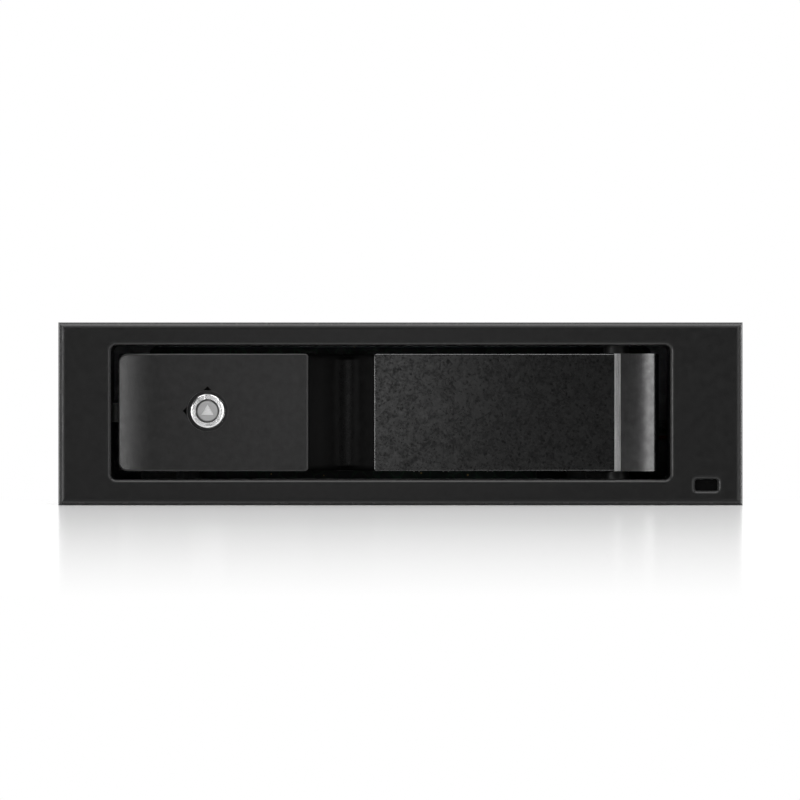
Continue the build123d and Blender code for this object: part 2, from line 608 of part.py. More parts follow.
def door_body():
    """Moulded door: hollow back with ribs and posts, a finger scoop, a barrel's core and a knuckle."""
    base = rectangle(DOOR_LEFT, HINGE_X, DOOR_FRONT, DOOR_BACK)
    knuckle = Pos(HINGE_X, HINGE_Y) * Circle(KNUCKLE_RADIUS)
    outline = base + barrel_outline(BARREL_SHELL) + knuckle
    outline -= rectangle(TRIM_LEFT, TRIM_RIGHT, 0, DOOR_FRONT)
    body = plan(outline, DOOR_BOTTOM, DOOR_TOP)
    body -= scoop_cut()
    mouths = [e for e in body.edges() if is_scoop_end(e)]
    body = fillet(mouths, SCOOP_END_RADIUS)
    for x0, x1 in door_cavities():
        body -= block(x0, x1, CAVITY_FRONT, DOOR_BACK + 1, DOOR_BOTTOM + DOOR_WALL, DOOR_TOP - DOOR_WALL)
    body += door_inner_walls()
    body -= rod_z(HINGE_X, HINGE_Y, PIN_RADIUS + RUNNING_FIT, DOOR_BOTTOM - 1, DOOR_TOP + 1)
    body -= rod_y(LOCK_X, LOCK_Z, LOCK_RADIUS + RUNNING_FIT, DOOR_FRONT - 1, CAVITY_FRONT + 1)
    body -= catch_passage()
    for x, z in panel_screw_places():
        body -= rod_y(x, z, SMALL_SCREW_RADIUS + RUNNING_FIT, DOOR_FRONT - 1, CAVITY_FRONT + 1)
    return body


def barrel_outline(inset):
    """The hinge barrel seen from above, drawn in from its outer face by an inset."""
    disc = Pos(HINGE_X, BARREL_FRONT + BARREL_CURVE) * Circle(BARREL_CURVE - inset)
    outline = disc & rectangle(HINGE_X, HINGE_X + BARREL_RADIUS - inset, BARREL_FRONT, DOOR_BACK)
    corner = outline.vertices().sort_by(Axis.X)[-2:].sort_by(Axis.Y)[0]
    return fillet(corner, BARREL_EDGE - inset)


def barrel_cover():
    """Metal cover round the hinge barrel, from the bright strip to the door's back."""
    shell = barrel_outline(0) - barrel_outline(BARREL_SHELL)
    shell -= rectangle(TRIM_LEFT, TRIM_RIGHT, 0, DOOR_BACK + 1)
    return plan(shell, DOOR_BOTTOM, DOOR_TOP)


def scoop_axis():
    """Centre and radius of the round finger scoop, seen from above."""
    half = (SCOOP_WIDTH + SCOOP_UNDERCUT) / 2
    radius = (half**2 + SCOOP_DEPTH**2) / (2 * SCOOP_DEPTH)
    return PANEL_RIGHT + half, DOOR_FRONT + SCOOP_DEPTH - radius, radius


def scoop_cut():
    """The round trough that fingers reach into, running under the handle plate's edge."""
    x, y, radius = scoop_axis()
    return rod_z(x, y, radius, DOOR_BOTTOM - 1, DOOR_TOP + 1)


def is_scoop_end(edge):
    """Whether an edge is one of the two arcs where the scoop meets the door's top and bottom."""
    x, _, radius = scoop_axis()
    round_edge = edge.geom_type == GeomType.CIRCLE and abs(edge.radius - radius) < 1e-3
    return round_edge and abs(edge.center().X - x) < radius


def door_cavities():
    """The two hollows in the door's back, one each side of the scoop, as spans of x."""
    return (DOOR_LEFT + DOOR_WALL, PANEL_RIGHT - DOOR_WALL), (HOLLOW_LEFT, HOLLOW_RIGHT)


def door_inner_walls():
    """Posts behind the bumpers, ribs behind the handle and the catch's guide, all inside the hollows."""
    low, high = DOOR_BOTTOM + DOOR_WALL / 2, DOOR_TOP - DOOR_WALL / 2
    walls = [rod_y(x, z, BUMPER_POST_RADIUS, CAVITY_FRONT, DOOR_BACK) for x in BUMPER_X for z in BUMPER_Z]
    left = DOOR_LEFT + DOOR_WALL
    for x in (BUMPER_X[1], HANDLE_RIB_X):
        rib = (x - CATCH_RIB / 2, x + CATCH_RIB / 2)
        walls.append(block(*rib, CAVITY_FRONT, DOOR_BACK - FIT, low, high))
    rib_back = CATCH_FRONT + CATCH_WIDTH + CATCH_GAP
    half = CATCH_HEIGHT / 2 + CATCH_GAP
    for z in (CATCH_Z - half - CATCH_RIB, CATCH_Z + half):
        walls.append(block(left, CATCH_STOP + CATCH_RIB, CAVITY_FRONT, rib_back, z, z + CATCH_RIB))
    stop = (CATCH_STOP, CATCH_STOP + CATCH_RIB)
    span = half + CATCH_RIB
    walls.append(block(*stop, CAVITY_FRONT, rib_back, CATCH_Z - span, CATCH_Z + span))
    return Part() + walls


def catch_passage():
    """Window in the door's left wall that the catch's nose slides through."""
    half = CATCH_NOSE_HEIGHT / 2 + CATCH_GAP
    back = CATCH_FRONT + CATCH_WIDTH + CATCH_GAP
    x1 = DOOR_LEFT + DOOR_WALL
    return block(DOOR_LEFT - 1, x1, CATCH_FRONT - CATCH_GAP, back, CATCH_Z - half, CATCH_Z + half)


def panel_screw_places():
    """Screws from inside the door into the handle plate and the lock panel, in front view."""
    handle = [(x, OPENING_Z) for x in HANDLE_SCREW_X]
    return handle + [(PANEL_SCREW_X, z) for z in PANEL_SCREW_Z]


def panel_screws():
    """Small screws that hold the two front plates on the door."""
    length = DOOR_WALL + PANEL_THICKNESS * 0.6
    size = (SMALL_SCREW_RADIUS, SMALL_SCREW_HEAD_RADIUS, SMALL_SCREW_HEAD)
    return [screw_y(x, z, *size, CAVITY_FRONT, length, -1) for x, z in panel_screw_places()]


def screw_bores():
    """Blind holes in the front plates that take the panel screws."""
    depth = PANEL_THICKNESS * 0.6 + FIT
    radius = SMALL_SCREW_RADIUS + RUNNING_FIT
    places = panel_screw_places()
    return Part() + [rod_y(x, z, radius, DOOR_FRONT - depth, DOOR_FRONT + 1) for x, z in places]


def lock_panel():
    """Left front plate, gently crowned towards its free end, with a recess round the lock."""
    crown_start, edge = PANEL_RIGHT - LOCK_PANEL_WIDTH * 0.75, 0.45
    crown_end = (DOOR_LEFT, FACE_RECESS + PANEL_CROWN)
    outline = Polyline(
        crown_end,
        (DOOR_LEFT, DOOR_FRONT),
        (PANEL_RIGHT, DOOR_FRONT),
        (PANEL_RIGHT, FACE_RECESS),
        (crown_start, FACE_RECESS),
    )
    crown = TangentArc((crown_start, FACE_RECESS), crown_end, tangent=(-1, 0))
    panel = plan(make_face([*outline.edges(), crown]), DOOR_BOTTOM, DOOR_TOP)
    uprights = panel.edges().filter_by(Axis.Y)
    panel = fillet(uprights.group_by(Axis.X)[0], 2.0)
    panel = fillet(panel.edges().filter_by(Axis.Y).group_by(Axis.X)[-1], 0.7)
    front = [e for e in panel.edges() if e.bounding_box().max.Y < DOOR_FRONT - 1]
    panel = fillet(front, edge)
    panel -= rod_y(LOCK_X, LOCK_Z, LOCK_RECESS_RADIUS, -1, FACE_RECESS + LOCK_RECESS)
    panel -= rod_y(LOCK_X, LOCK_Z, LOCK_RADIUS + RUNNING_FIT, -1, DOOR_FRONT + 1)
    seat = LOCK_SHOULDER_RADIUS + RUNNING_FIT
    panel -= rod_y(LOCK_X, LOCK_Z, seat, DOOR_FRONT - LOCK_SHOULDER, DOOR_FRONT + 1)
    return panel - screw_bores()


def handle_plate():
    """Grained metal plate on the right of the door, overhanging the scoop."""
    flat = rectangle(HANDLE_LEFT, TRIM_LEFT, DOOR_BOTTOM, DOOR_TOP)
    plate = slab(flat, FACE_RECESS, DOOR_FRONT)
    corners = plate.edges().filter_by(Axis.Y).group_by(Axis.X)[0]
    plate = fillet(corners, 0.6)
    front = plate.faces().sort_by(Axis.Y)[0].edges()
    plate = fillet([e for e in front if e.center().X < TRIM_LEFT - 0.01], 0.4)
    return plate - screw_bores()


def handle_trim():
    """Bright bevelled strip between the handle plate and the barrel."""
    fall = BARREL_FRONT + BARREL_CURVE - sqrt(BARREL_CURVE**2 - (TRIM_RIGHT - HINGE_X) ** 2)
    wedge = make_face(
        Polyline(
            (TRIM_LEFT, FACE_RECESS),
            (TRIM_RIGHT, fall),
            (TRIM_RIGHT, DOOR_FRONT),
            (TRIM_LEFT, DOOR_FRONT),
            close=True,
        )
    )
    return plan(wedge, DOOR_BOTTOM, DOOR_TOP)


def hinge_pin():
    """Steel pin that turns with the door and carries the crank."""
    return rod_z(HINGE_X, HINGE_Y, PIN_RADIUS, CRANK_BOTTOM, COLLAR_TOP)


def hinge_bushes():
    """Flanged bushes in the collar's top and bottom walls."""
    bore = PIN_RADIUS + RUNNING_FIT
    place = Pos(HINGE_X, HINGE_Y)
    sleeve = place * (Circle(BUSH_SLEEVE_RADIUS) - Circle(bore))
    flange = place * (Circle(BUSH_FLANGE_RADIUS) - Circle(bore))
    low = plan(sleeve, COLLAR_BOTTOM, OPENING_BOTTOM)
    low += plan(flange, OPENING_BOTTOM, OPENING_BOTTOM + BUSH_FLANGE)
    high = plan(sleeve, OPENING_TOP, COLLAR_TOP)
    high += plan(flange, OPENING_TOP - BUSH_FLANGE, OPENING_TOP)
    return [low, high]


def bumpers():
    """Rubber pads on the door's back that press the drive home."""
    pads = []
    for x in BUMPER_X:
        for z in BUMPER_Z:
            pad = rod_y(x, z, BUMPER_RADIUS, DOOR_BACK, DOOR_BACK + BUMPER_HEIGHT)
            pads.append(fillet(pad.faces().sort_by(Axis.Y)[-1].edges(), BUMPER_HEIGHT / 3))
    return pads


def lock_barrel():
    """Fixed lock sleeve with a key notch at the top of its rim and a shoulder behind the panel."""
    sleeve = rod_y(LOCK_X, LOCK_Z, LOCK_RADIUS, LOCK_FRONT, LOCK_END)
    sleeve = fillet(sleeve.faces().sort_by(Axis.Y)[0].edges(), 0.35)
    sleeve += rod_y(LOCK_X, LOCK_Z, LOCK_SHOULDER_RADIUS, DOOR_FRONT - LOCK_SHOULDER, DOOR_FRONT)
    sleeve -= rod_y(LOCK_X, LOCK_Z, LOCK_BORE_RADIUS, LOCK_FRONT - 1, LOCK_END + 1)
    half = LOCK_NOTCH / 2
    notch = (LOCK_FRONT - 1, LOCK_FRONT + LOCK_FACE_DEPTH, LOCK_Z, LOCK_Z + LOCK_RADIUS + 1)
    return sleeve - block(LOCK_X - half, LOCK_X + half, *notch)


def lock_core():
    """Turning lock core with a raised triangular stud and a square tail."""
    face = LOCK_FRONT + LOCK_FACE_DEPTH
    radius = LOCK_BORE_RADIUS - RUNNING_FIT
    core = rod_y(LOCK_X, LOCK_Z, radius, face, CAM_FRONT)
    core = chamfer(core.faces().sort_by(Axis.Y)[0].edges(), LOCK_FACE_CHAMFER)
    point = Pos(LOCK_X, LOCK_Z - 0.1) * Rot(0, 0, 90) * RegularPolygon(LOCK_STUD_RADIUS, 3)
    core += slab(point, face - LOCK_STUD, face)
    square = Pos(LOCK_X, LOCK_Z) * Rectangle(CAM_SQUARE, CAM_SQUARE)
    core += slab(square, CAM_FRONT, CAM_BACK)
    bore = SMALL_SCREW_RADIUS + RUNNING_FIT
    return core - rod_y(LOCK_X, LOCK_Z, bore, CAM_BACK - SCREW_BITE - FIT, CAM_BACK + 1)


def lock_cam():
    """Steel cam that points to the right when open and turns up behind the collar when locked."""
    hub = Circle(CAM_WIDTH * 0.75)
    arm = Pos((CAM_LENGTH - CAM_WIDTH / 2) / 2, 0) * Rectangle(CAM_LENGTH - CAM_WIDTH / 2, CAM_WIDTH)
    tip = Pos(CAM_LENGTH - CAM_WIDTH / 2, 0) * Circle(CAM_WIDTH / 2)
    hole = CAM_SQUARE + 2 * RUNNING_FIT
    flat = hub + arm + tip - Rectangle(hole, hole)
    return slab(Pos(LOCK_X, LOCK_Z) * flat, CAM_FRONT, CAM_BACK)


def cam_screw():
    """Screw that holds the cam on the core's tail."""
    size = (SMALL_SCREW_RADIUS, CAM_SQUARE * 0.72, BUMPER_HEIGHT - CAM_THICKNESS - FIT)
    return screw_y(LOCK_X, LOCK_Z, *size, CAM_BACK, SCREW_BITE, -1)


def lock_nut():
    """Hexagon nut that clamps the lock inside the door."""
    hexagon = RegularPolygon(LOCK_NUT_WIDTH / 2, 6, major_radius=False) - Circle(LOCK_RADIUS + RUNNING_FIT)
    return slab(Pos(LOCK_X, LOCK_Z) * hexagon, CAVITY_FRONT, CAVITY_FRONT + LOCK_NUT)


def catch_bolt():
    """Sprung bolt with a round nose, shoulders that stop in the door's wall and a bore for the spring."""
    back = CATCH_FRONT + CATCH_WIDTH
    nose, heel = CATCH_NOSE_HEIGHT / 2, CATCH_HEIGHT / 2
    bolt = block(CATCH_TIP, CATCH_HEEL, CATCH_FRONT, back, CATCH_Z - nose, CATCH_Z + nose)
    bolt = fillet(bolt.edges().filter_by(Axis.Z).group_by(Axis.X)[0], CATCH_NOSE_RADIUS)
    shoulder = DOOR_LEFT + DOOR_WALL + RUNNING_FIT
    bolt += block(shoulder, CATCH_HEEL, CATCH_FRONT, back, CATCH_Z - heel, CATCH_Z + heel)
    y = CATCH_FRONT + CATCH_WIDTH / 2
    return bolt - rod_x(y, CATCH_Z, SPRING_RADIUS + SPRING_WIRE, CATCH_HEEL - SPRING_SEAT, CATCH_HEEL + 1)


def catch_spring():
    """Coil spring between the catch and its stop."""
    radius = SPRING_WIRE / 2
    length = CATCH_STOP - CATCH_HEEL + SPRING_SEAT - SPRING_WIRE
    line = Helix(length / SPRING_TURNS, length, SPRING_RADIUS)
    start = Plane(line @ 0, z_dir=line % 0)
    coil = sweep(start * Circle(radius), path=line, is_frenet=True)
    y = CATCH_FRONT + CATCH_WIDTH / 2
    return Pos(CATCH_HEEL - SPRING_SEAT + radius, y, CATCH_Z) * Rot(0, 90, 0) * coil


def catch_cover():
    """Plate that closes the catch's guide from behind."""
    half = CATCH_GUIDE_HALF
    front = CATCH_FRONT + CATCH_WIDTH + CATCH_GAP
    left = DOOR_LEFT + DOOR_WALL + FIT
    plate = rectangle(left, CATCH_STOP + CATCH_RIB, CATCH_Z - half, CATCH_Z + half, 0.8)
    return slab(plate, front, min(front + CATCH_COVER, DOOR_BACK))


def crank():
    """Flat lever on the hinge pin's lower end, with a peg that drives the ejector."""
    hub = Pos(HINGE_X, HINGE_Y) * Circle(CRANK_HUB_RADIUS)
    eye = Pos(CRANK_X, CRANK_Y) * Circle(PIN_RADIUS + 0.8)
    middle = Pos((HINGE_X + CRANK_X) / 2, (HINGE_Y + CRANK_Y) / 2)
    arm = middle * Rot(0, 0, CRANK_REST) * Rectangle(CRANK_RADIUS, 2 * PIN_RADIUS + 1.2)
    flat = hub + arm + eye - Pos(HINGE_X, HINGE_Y) * Circle(PIN_RADIUS + RUNNING_FIT)
    peg = rod_z(CRANK_X, CRANK_Y, PIN_RADIUS, EJECTOR_BOTTOM, CRANK_TOP)
    return plan(flat, CRANK_BOTTOM, CRANK_TOP) + peg


def ejector_stud_places():
    """Where the ejector's two guide studs are riveted to the floor, in plan."""
    return [((EJECTOR_LEFT + EJECTOR_RIGHT) / 2, y) for y in STUD_Y]


def ejector_bar():
    """Flat bar under the drive, with a yoke for the crank, two guide slots and a tab behind the drive."""
    front, back = CRANK_Y - YOKE_HALF - YOKE_WALL, CRANK_Y + YOKE_HALF + YOKE_WALL
    tab_back = DRIVE_REAR + FIT + EJECTOR_THICKNESS
    flat = rectangle(EJECTOR_LEFT, EJECTOR_RIGHT, front, tab_back)
    flat += rectangle(EJECTOR_LEFT, YOKE_RIGHT + YOKE_WALL, front, back)
    flat -= rectangle(YOKE_LEFT, YOKE_RIGHT, CRANK_Y - YOKE_HALF, CRANK_Y + YOKE_HALF, YOKE_HALF * 0.6)
    play = STUD_RADIUS + FIT
    for x, y in ejector_stud_places():
        flat -= slot_y(x, y + EJECT_STROKE / 2, 2 * play, EJECT_STROKE + 2 * play)
    bar = plan(flat, EJECTOR_BOTTOM, EJECTOR_TOP)
    tab_top = EJECTOR_BOTTOM + EJECTOR_TAB_HEIGHT
    tab = rectangle(EJECTOR_LEFT, EJECTOR_RIGHT, EJECTOR_BOTTOM, tab_top)
    tab = slab(tab, tab_back - EJECTOR_THICKNESS, tab_back)
    return bar + fillet(tab.edges().filter_by(Axis.Y).group_by(Axis.Z)[-1], 1.5)


def ejector_studs():
    """Headed studs that hold the bar to the floor and guide it."""
    seat = EJECTOR_TOP + CRANK_CLEARANCE
    studs = []
    for x, y in ejector_stud_places():
        shank = rod_z(x, y, STUD_RADIUS, 0, seat)
        studs.append(shank + rod_z(x, y, STUD_HEAD_RADIUS, seat, seat + STUD_HEAD))
    return studs


def backplane_board():
    """Circuit board across the rear, with holes for its screws and slots for air."""
    half, top = BOARD_WIDTH / 2, BOARD_BOTTOM + BOARD_HEIGHT
    flat = rectangle(-half, half, BOARD_BOTTOM, top, 1.5)
    for x, z in STANDOFF_PLACES:
        flat -= Pos(x, z) * Circle(SCREW_HOLE)
    start = DATA_PORT_X + DATA_PORT_WIDTH / 2
    ends = [start + part * (STANDOFF_X - start) for part in (BOARD_VENT_START, BOARD_VENT_END)]
    flat -= rectangle(*ends, top - 4 * VENT_WIDTH, top - VENT_WIDTH, VENT_WIDTH / 3)
    return slab(flat, BOARD_FRONT, BOARD_REAR)


def board_standoffs():
    """Hexagon standoffs between the board and the rear wall."""
    bore = Circle(SCREW_RADIUS + RUNNING_FIT)
    hexagon = RegularPolygon(STANDOFF_WIDTH / 2, 6, major_radius=False) - bore
    return [slab(Pos(x, z) * hexagon, BOARD_REAR, REAR_WALL_FRONT) for x, z in STANDOFF_PLACES]


def board_screws():
    """Screws through the board into the standoffs."""
    size = (SCREW_RADIUS, SCREW_HEAD_RADIUS, SCREW_HEAD)
    length = BOARD_THICKNESS + SCREW_BITE
    return [screw_y(x, z, *size, BOARD_FRONT, length, 1) for x, z in STANDOFF_PLACES]


def cover_screws():
    """Screws through the rear wall into the cover's flange."""
    size = (SCREW_RADIUS, SCREW_HEAD_RADIUS, SCREW_HEAD)
    return [screw_y(x, COVER_SCREW_Z, *size, BODY_REAR, SCREW_BITE, -1) for x in COVER_SCREW_X]


def drive_socket():
    """Receptacle that the drive plugs into, with two guide horns and keyed slots for data and power."""
    left, right = SOCKET_X - SOCKET_WIDTH / 2, SOCKET_X + SOCKET_WIDTH / 2
    low, high = SOCKET_Z - SOCKET_HEIGHT / 2, SOCKET_Z + SOCKET_HEIGHT / 2
    base = block(left, right, SOCKET_FRONT, BOARD_FRONT, low, high)
    horn = SOCKET_HEIGHT * 0.4
    for x in (left, right - horn):
        reach = (SOCKET_FRONT - horn, SOCKET_FRONT)
        tip = block(x, x + horn, *reach, SOCKET_Z - horn / 2, SOCKET_Z + horn / 2)
        base += chamfer(tip.faces().sort_by(Axis.Y)[0].edges(), horn / 4)
    data = (left + horn + SOCKET_GAP, left + horn + SOCKET_GAP + SOCKET_DATA_WIDTH)
    power = (data[1] + SOCKET_GAP, right - horn - SOCKET_GAP)
    deep = (SOCKET_FRONT - 1, BOARD_FRONT - BOARD_THICKNESS)
    for x0, x1 in (data, power):
        base -= block(x0, x1, *deep, SOCKET_Z - TONGUE, SOCKET_Z + TONGUE)
        base -= block(x0, x0 + TONGUE, *deep, SOCKET_Z - TONGUE, SOCKET_Z + 2 * TONGUE)
    return base


def rear_port(x, width):
    """Shrouded plug on the board's rear face with a keyed tongue inside."""
    low, high = PORT_Z - PORT_HEIGHT / 2, PORT_Z + PORT_HEIGHT / 2
    left, right = x - width / 2, x + width / 2
    shell = block(left, right, BOARD_REAR, BODY_REAR, low, high)
    shell = fillet(shell.edges().filter_by(Axis.Y), 0.6)
    hollow = (left + PORT_WALL, right - PORT_WALL, BOARD_REAR + 2 * PORT_WALL, BODY_REAR + 1)
    shell -= block(*hollow, low + PORT_WALL, high - PORT_WALL)
    inset = PORT_WALL + TONGUE
    deep = (BOARD_REAR + PORT_WALL, BODY_REAR - PORT_WALL)
    shell += block(left + inset, right - inset, *deep, PORT_Z, PORT_Z + TONGUE)
    return shell + block(left + inset, left + inset + TONGUE, *deep, PORT_Z - TONGUE, PORT_Z)


def light_pipe():
    """Smoked window in the bezel that shows the status light, with a flange behind the front."""
    stem = slab(Pos(WINDOW_X, WINDOW_Z) * window_outline(), LENS_RECESS, BEZEL_FRONT)
    wide = WINDOW_WIDTH / 2 + LENS_FLANGE
    low = max(WINDOW_Z - WINDOW_HEIGHT / 2 - LENS_FLANGE, BEZEL_WALL)
    high = WINDOW_Z + WINDOW_HEIGHT / 2 + LENS_FLANGE
    return stem + block(WINDOW_X - wide, WINDOW_X + wide, BEZEL_FRONT, LIGHT_BOARD_Y, low, high)


def light_board():
    """Small board with the status light, held against the light pipe by the bezel's collar side."""
    left = OPENING_RIGHT + COLLAR_WALL
    right = max(left + LIGHT_BOARD_WIDTH, WINDOW_X + WINDOW_WIDTH / 2)
    low = BEZEL_WALL + FIT
    back = LIGHT_BOARD_Y + LIGHT_BOARD_THICKNESS
    return block(left, right, LIGHT_BOARD_Y, back, low, low + LIGHT_BOARD_HEIGHT)


def status_ribbon():
    """Flat lead from the status light along the right wall to the backplane."""
    wall = WALL_INNER - SNAP_THICKNESS - FIT - RIBBON_THICKNESS
    x0, y0 = OPENING_RIGHT + COLLAR_WALL + LIGHT_BOARD_WIDTH / 2, LIGHT_BOARD_Y + LIGHT_BOARD_THICKNESS
    x1, y1 = BOARD_WIDTH / 2 - RIBBON_INSET, BOARD_FRONT
    front = [(x0, y0), (x0, y0 + RIBBON_BEND), (wall, y0 + 3 * RIBBON_BEND)]
    rear = [(wall, y1 - 3 * RIBBON_BEND), (x1, y1 - RIBBON_BEND), (x1, y1)]
    return strip(front + rear, RIBBON_BEND / 2, RIBBON_THICKNESS, RIBBON_WIDTH, RIBBON_Z)


def pieces():
    """Every node's name with its solid, or its list of like solids."""
    return {
        "bezel": bezel(),
        "cage_pan": pan(),
        "top_cover": top_cover(),
        "left_drive_rail": drive_rail(-1),
        "right_drive_rail": drive_rail(1),
        "rail_springs": rail_springs(),
        "rail_screws": rail_screws(),
        "door_body": door_body(),
        "lock_panel": lock_panel(),
        "handle_plate": handle_plate(),
        "handle_trim": handle_trim(),
        "barrel_cover": barrel_cover(),
        "panel_screws": panel_screws(),
        "hinge_pin": hinge_pin(),
        "hinge_bushes": hinge_bushes(),
        "drive_bumpers": bumpers(),
        "lock_barrel": lock_barrel(),
        "lock_nut": lock_nut(),
        "lock_core": lock_core(),
        "lock_cam": lock_cam(),
        "cam_screw": cam_screw(),
        "catch_bolt": catch_bolt(),
        "catch_spring": catch_spring(),
        "catch_cover": catch_cover(),
        "ejector_crank": crank(),
        "ejector_bar": ejector_bar(),
        "ejector_studs": ejector_studs(),
        "backplane_board": backplane_board(),
        "board_standoffs": board_standoffs(),
        "board_screws": board_screws(),
        "cover_screws": cover_screws(),
        "drive_socket": drive_socket(),
        "data_port": rear_port(DATA_PORT_X, DATA_PORT_WIDTH),
        "power_port": rear_port(POWER_PORT_X, POWER_PORT_WIDTH),
        "light_pipe": light_pipe(),
        "light_board": light_board(),
        "status_ribbon": status_ribbon(),
    }


def main():
    os.makedirs("parts", exist_ok=True)
    to_origin = Pos(0, -TOTAL_DEPTH / 2, 0)
    for name, piece in pieces().items():
        shape = Compound(children=piece) if isinstance(piece, list) else piece
        export_step(to_origin * shape, f"parts/{name}.step")
    print("hinge at", HINGE_X, HINGE_Y - TOTAL_DEPTH / 2, "ejector stroke", EJECT_STROKE)
    print("lock at", LOCK_X, LOCK_Z, "depth", TOTAL_DEPTH)


main()
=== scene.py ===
import math

import bmesh
import bpy
from mathutils import Euler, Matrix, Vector


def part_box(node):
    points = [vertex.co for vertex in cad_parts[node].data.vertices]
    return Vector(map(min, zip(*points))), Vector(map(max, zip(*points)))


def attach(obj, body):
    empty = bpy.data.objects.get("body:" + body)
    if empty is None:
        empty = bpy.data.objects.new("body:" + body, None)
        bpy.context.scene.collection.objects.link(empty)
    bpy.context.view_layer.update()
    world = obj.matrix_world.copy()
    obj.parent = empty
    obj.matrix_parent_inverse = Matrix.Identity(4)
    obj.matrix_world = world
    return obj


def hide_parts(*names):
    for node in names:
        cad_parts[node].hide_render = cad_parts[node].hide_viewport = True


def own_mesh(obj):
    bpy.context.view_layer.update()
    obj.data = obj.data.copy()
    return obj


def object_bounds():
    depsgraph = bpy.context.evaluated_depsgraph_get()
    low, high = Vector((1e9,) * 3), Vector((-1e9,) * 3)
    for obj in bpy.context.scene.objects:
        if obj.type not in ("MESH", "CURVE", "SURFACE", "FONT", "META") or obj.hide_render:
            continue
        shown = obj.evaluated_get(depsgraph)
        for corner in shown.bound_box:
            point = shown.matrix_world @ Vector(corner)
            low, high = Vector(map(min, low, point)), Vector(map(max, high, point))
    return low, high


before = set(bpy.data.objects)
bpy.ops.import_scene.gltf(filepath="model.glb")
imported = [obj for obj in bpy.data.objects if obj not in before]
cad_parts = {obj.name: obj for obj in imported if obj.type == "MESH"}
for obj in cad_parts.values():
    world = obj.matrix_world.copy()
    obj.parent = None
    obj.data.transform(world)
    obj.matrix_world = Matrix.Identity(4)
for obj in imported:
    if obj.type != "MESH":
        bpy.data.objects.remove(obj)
CAD_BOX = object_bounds()

bl_info = {
    "name": "Drive cage dressing",
    "version": (1, 0, 0),
    "blender": (4, 5, 0),
    "location": "3D View > Sidebar > Drive cage",
    "description": "Finishes, small hardware and a studio for a hot swap drive cage",
    "category": "Object",
}

MM = 0.001
QUARTER = math.pi / 2
FRONT = Vector((0.0, -1.0, 0.0))
FACE_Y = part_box("bezel")[0].y

# Shank radius, head radius and head height of the three kinds of screw, in millimetres
LARGE_SCREW = (1.25, 2.6, 1.6)
SMALL_SCREW = (1.0, 2.1, 1.3)
CAM_SCREW = (1.0, 2.448, 0.8)
SCREW_SIDES = 32

# Side views of the contacts as (y, z) points, in millimetres
SPRUNG_CONTACT = (
    (0.0, 0.0), (0.0, -0.18), (-2.0, -0.42), (-4.2, -0.62), (-5.0, -0.30),
    (-5.0, -0.12), (-4.2, -0.44), (-2.0, -0.24), (-0.6, 0.0),
)
FLAT_CONTACT = ((0.0, 0.0), (0.0, -0.12), (4.6, -0.12), (5.0, -0.04), (5.0, 0.0))

# Name, middle (x, z), size, columns and rows, and seed shift of the fields of board parts, in millimetres
BOARD_FIELDS = (
    ("board_parts_upper", (-20.0, 25.5), (56.0, 12.0), (17, 4), 0),
    ("board_parts_lower", (24.0, 11.5), (40.0, 12.0), (12, 4), 3),
)


def colour(name, description, red, green=None, blue=None):
    """A colour property, grey where only one value is given."""
    default = (red, red if green is None else green, red if blue is None else blue)
    return bpy.props.FloatVectorProperty(
        name=name, description=description, default=default, size=3, min=0.0, max=1.0, subtype="COLOR"
    )


def length(name, description, millimetres):
    """A length property whose default is written in millimetres."""
    return bpy.props.FloatProperty(
        name=name, description=description, default=millimetres * MM, min=0.0, precision=5, unit="LENGTH"
    )


def share(name, description, value):
    """A property from 0 to 1."""
    return bpy.props.FloatProperty(
        name=name, description=description, default=value, min=0.0, max=1.0, subtype="FACTOR"
    )


def level(name, description, value):
    """A lamp's brightness, as the radiance of its face, where 1 is white."""
    return bpy.props.FloatProperty(
        name=name, description=description, default=value, min=0.0, soft_max=20.0
    )


def whole(name, description, value):
    """A whole number property."""
    return bpy.props.IntProperty(name=name, description=description, default=value, min=0)


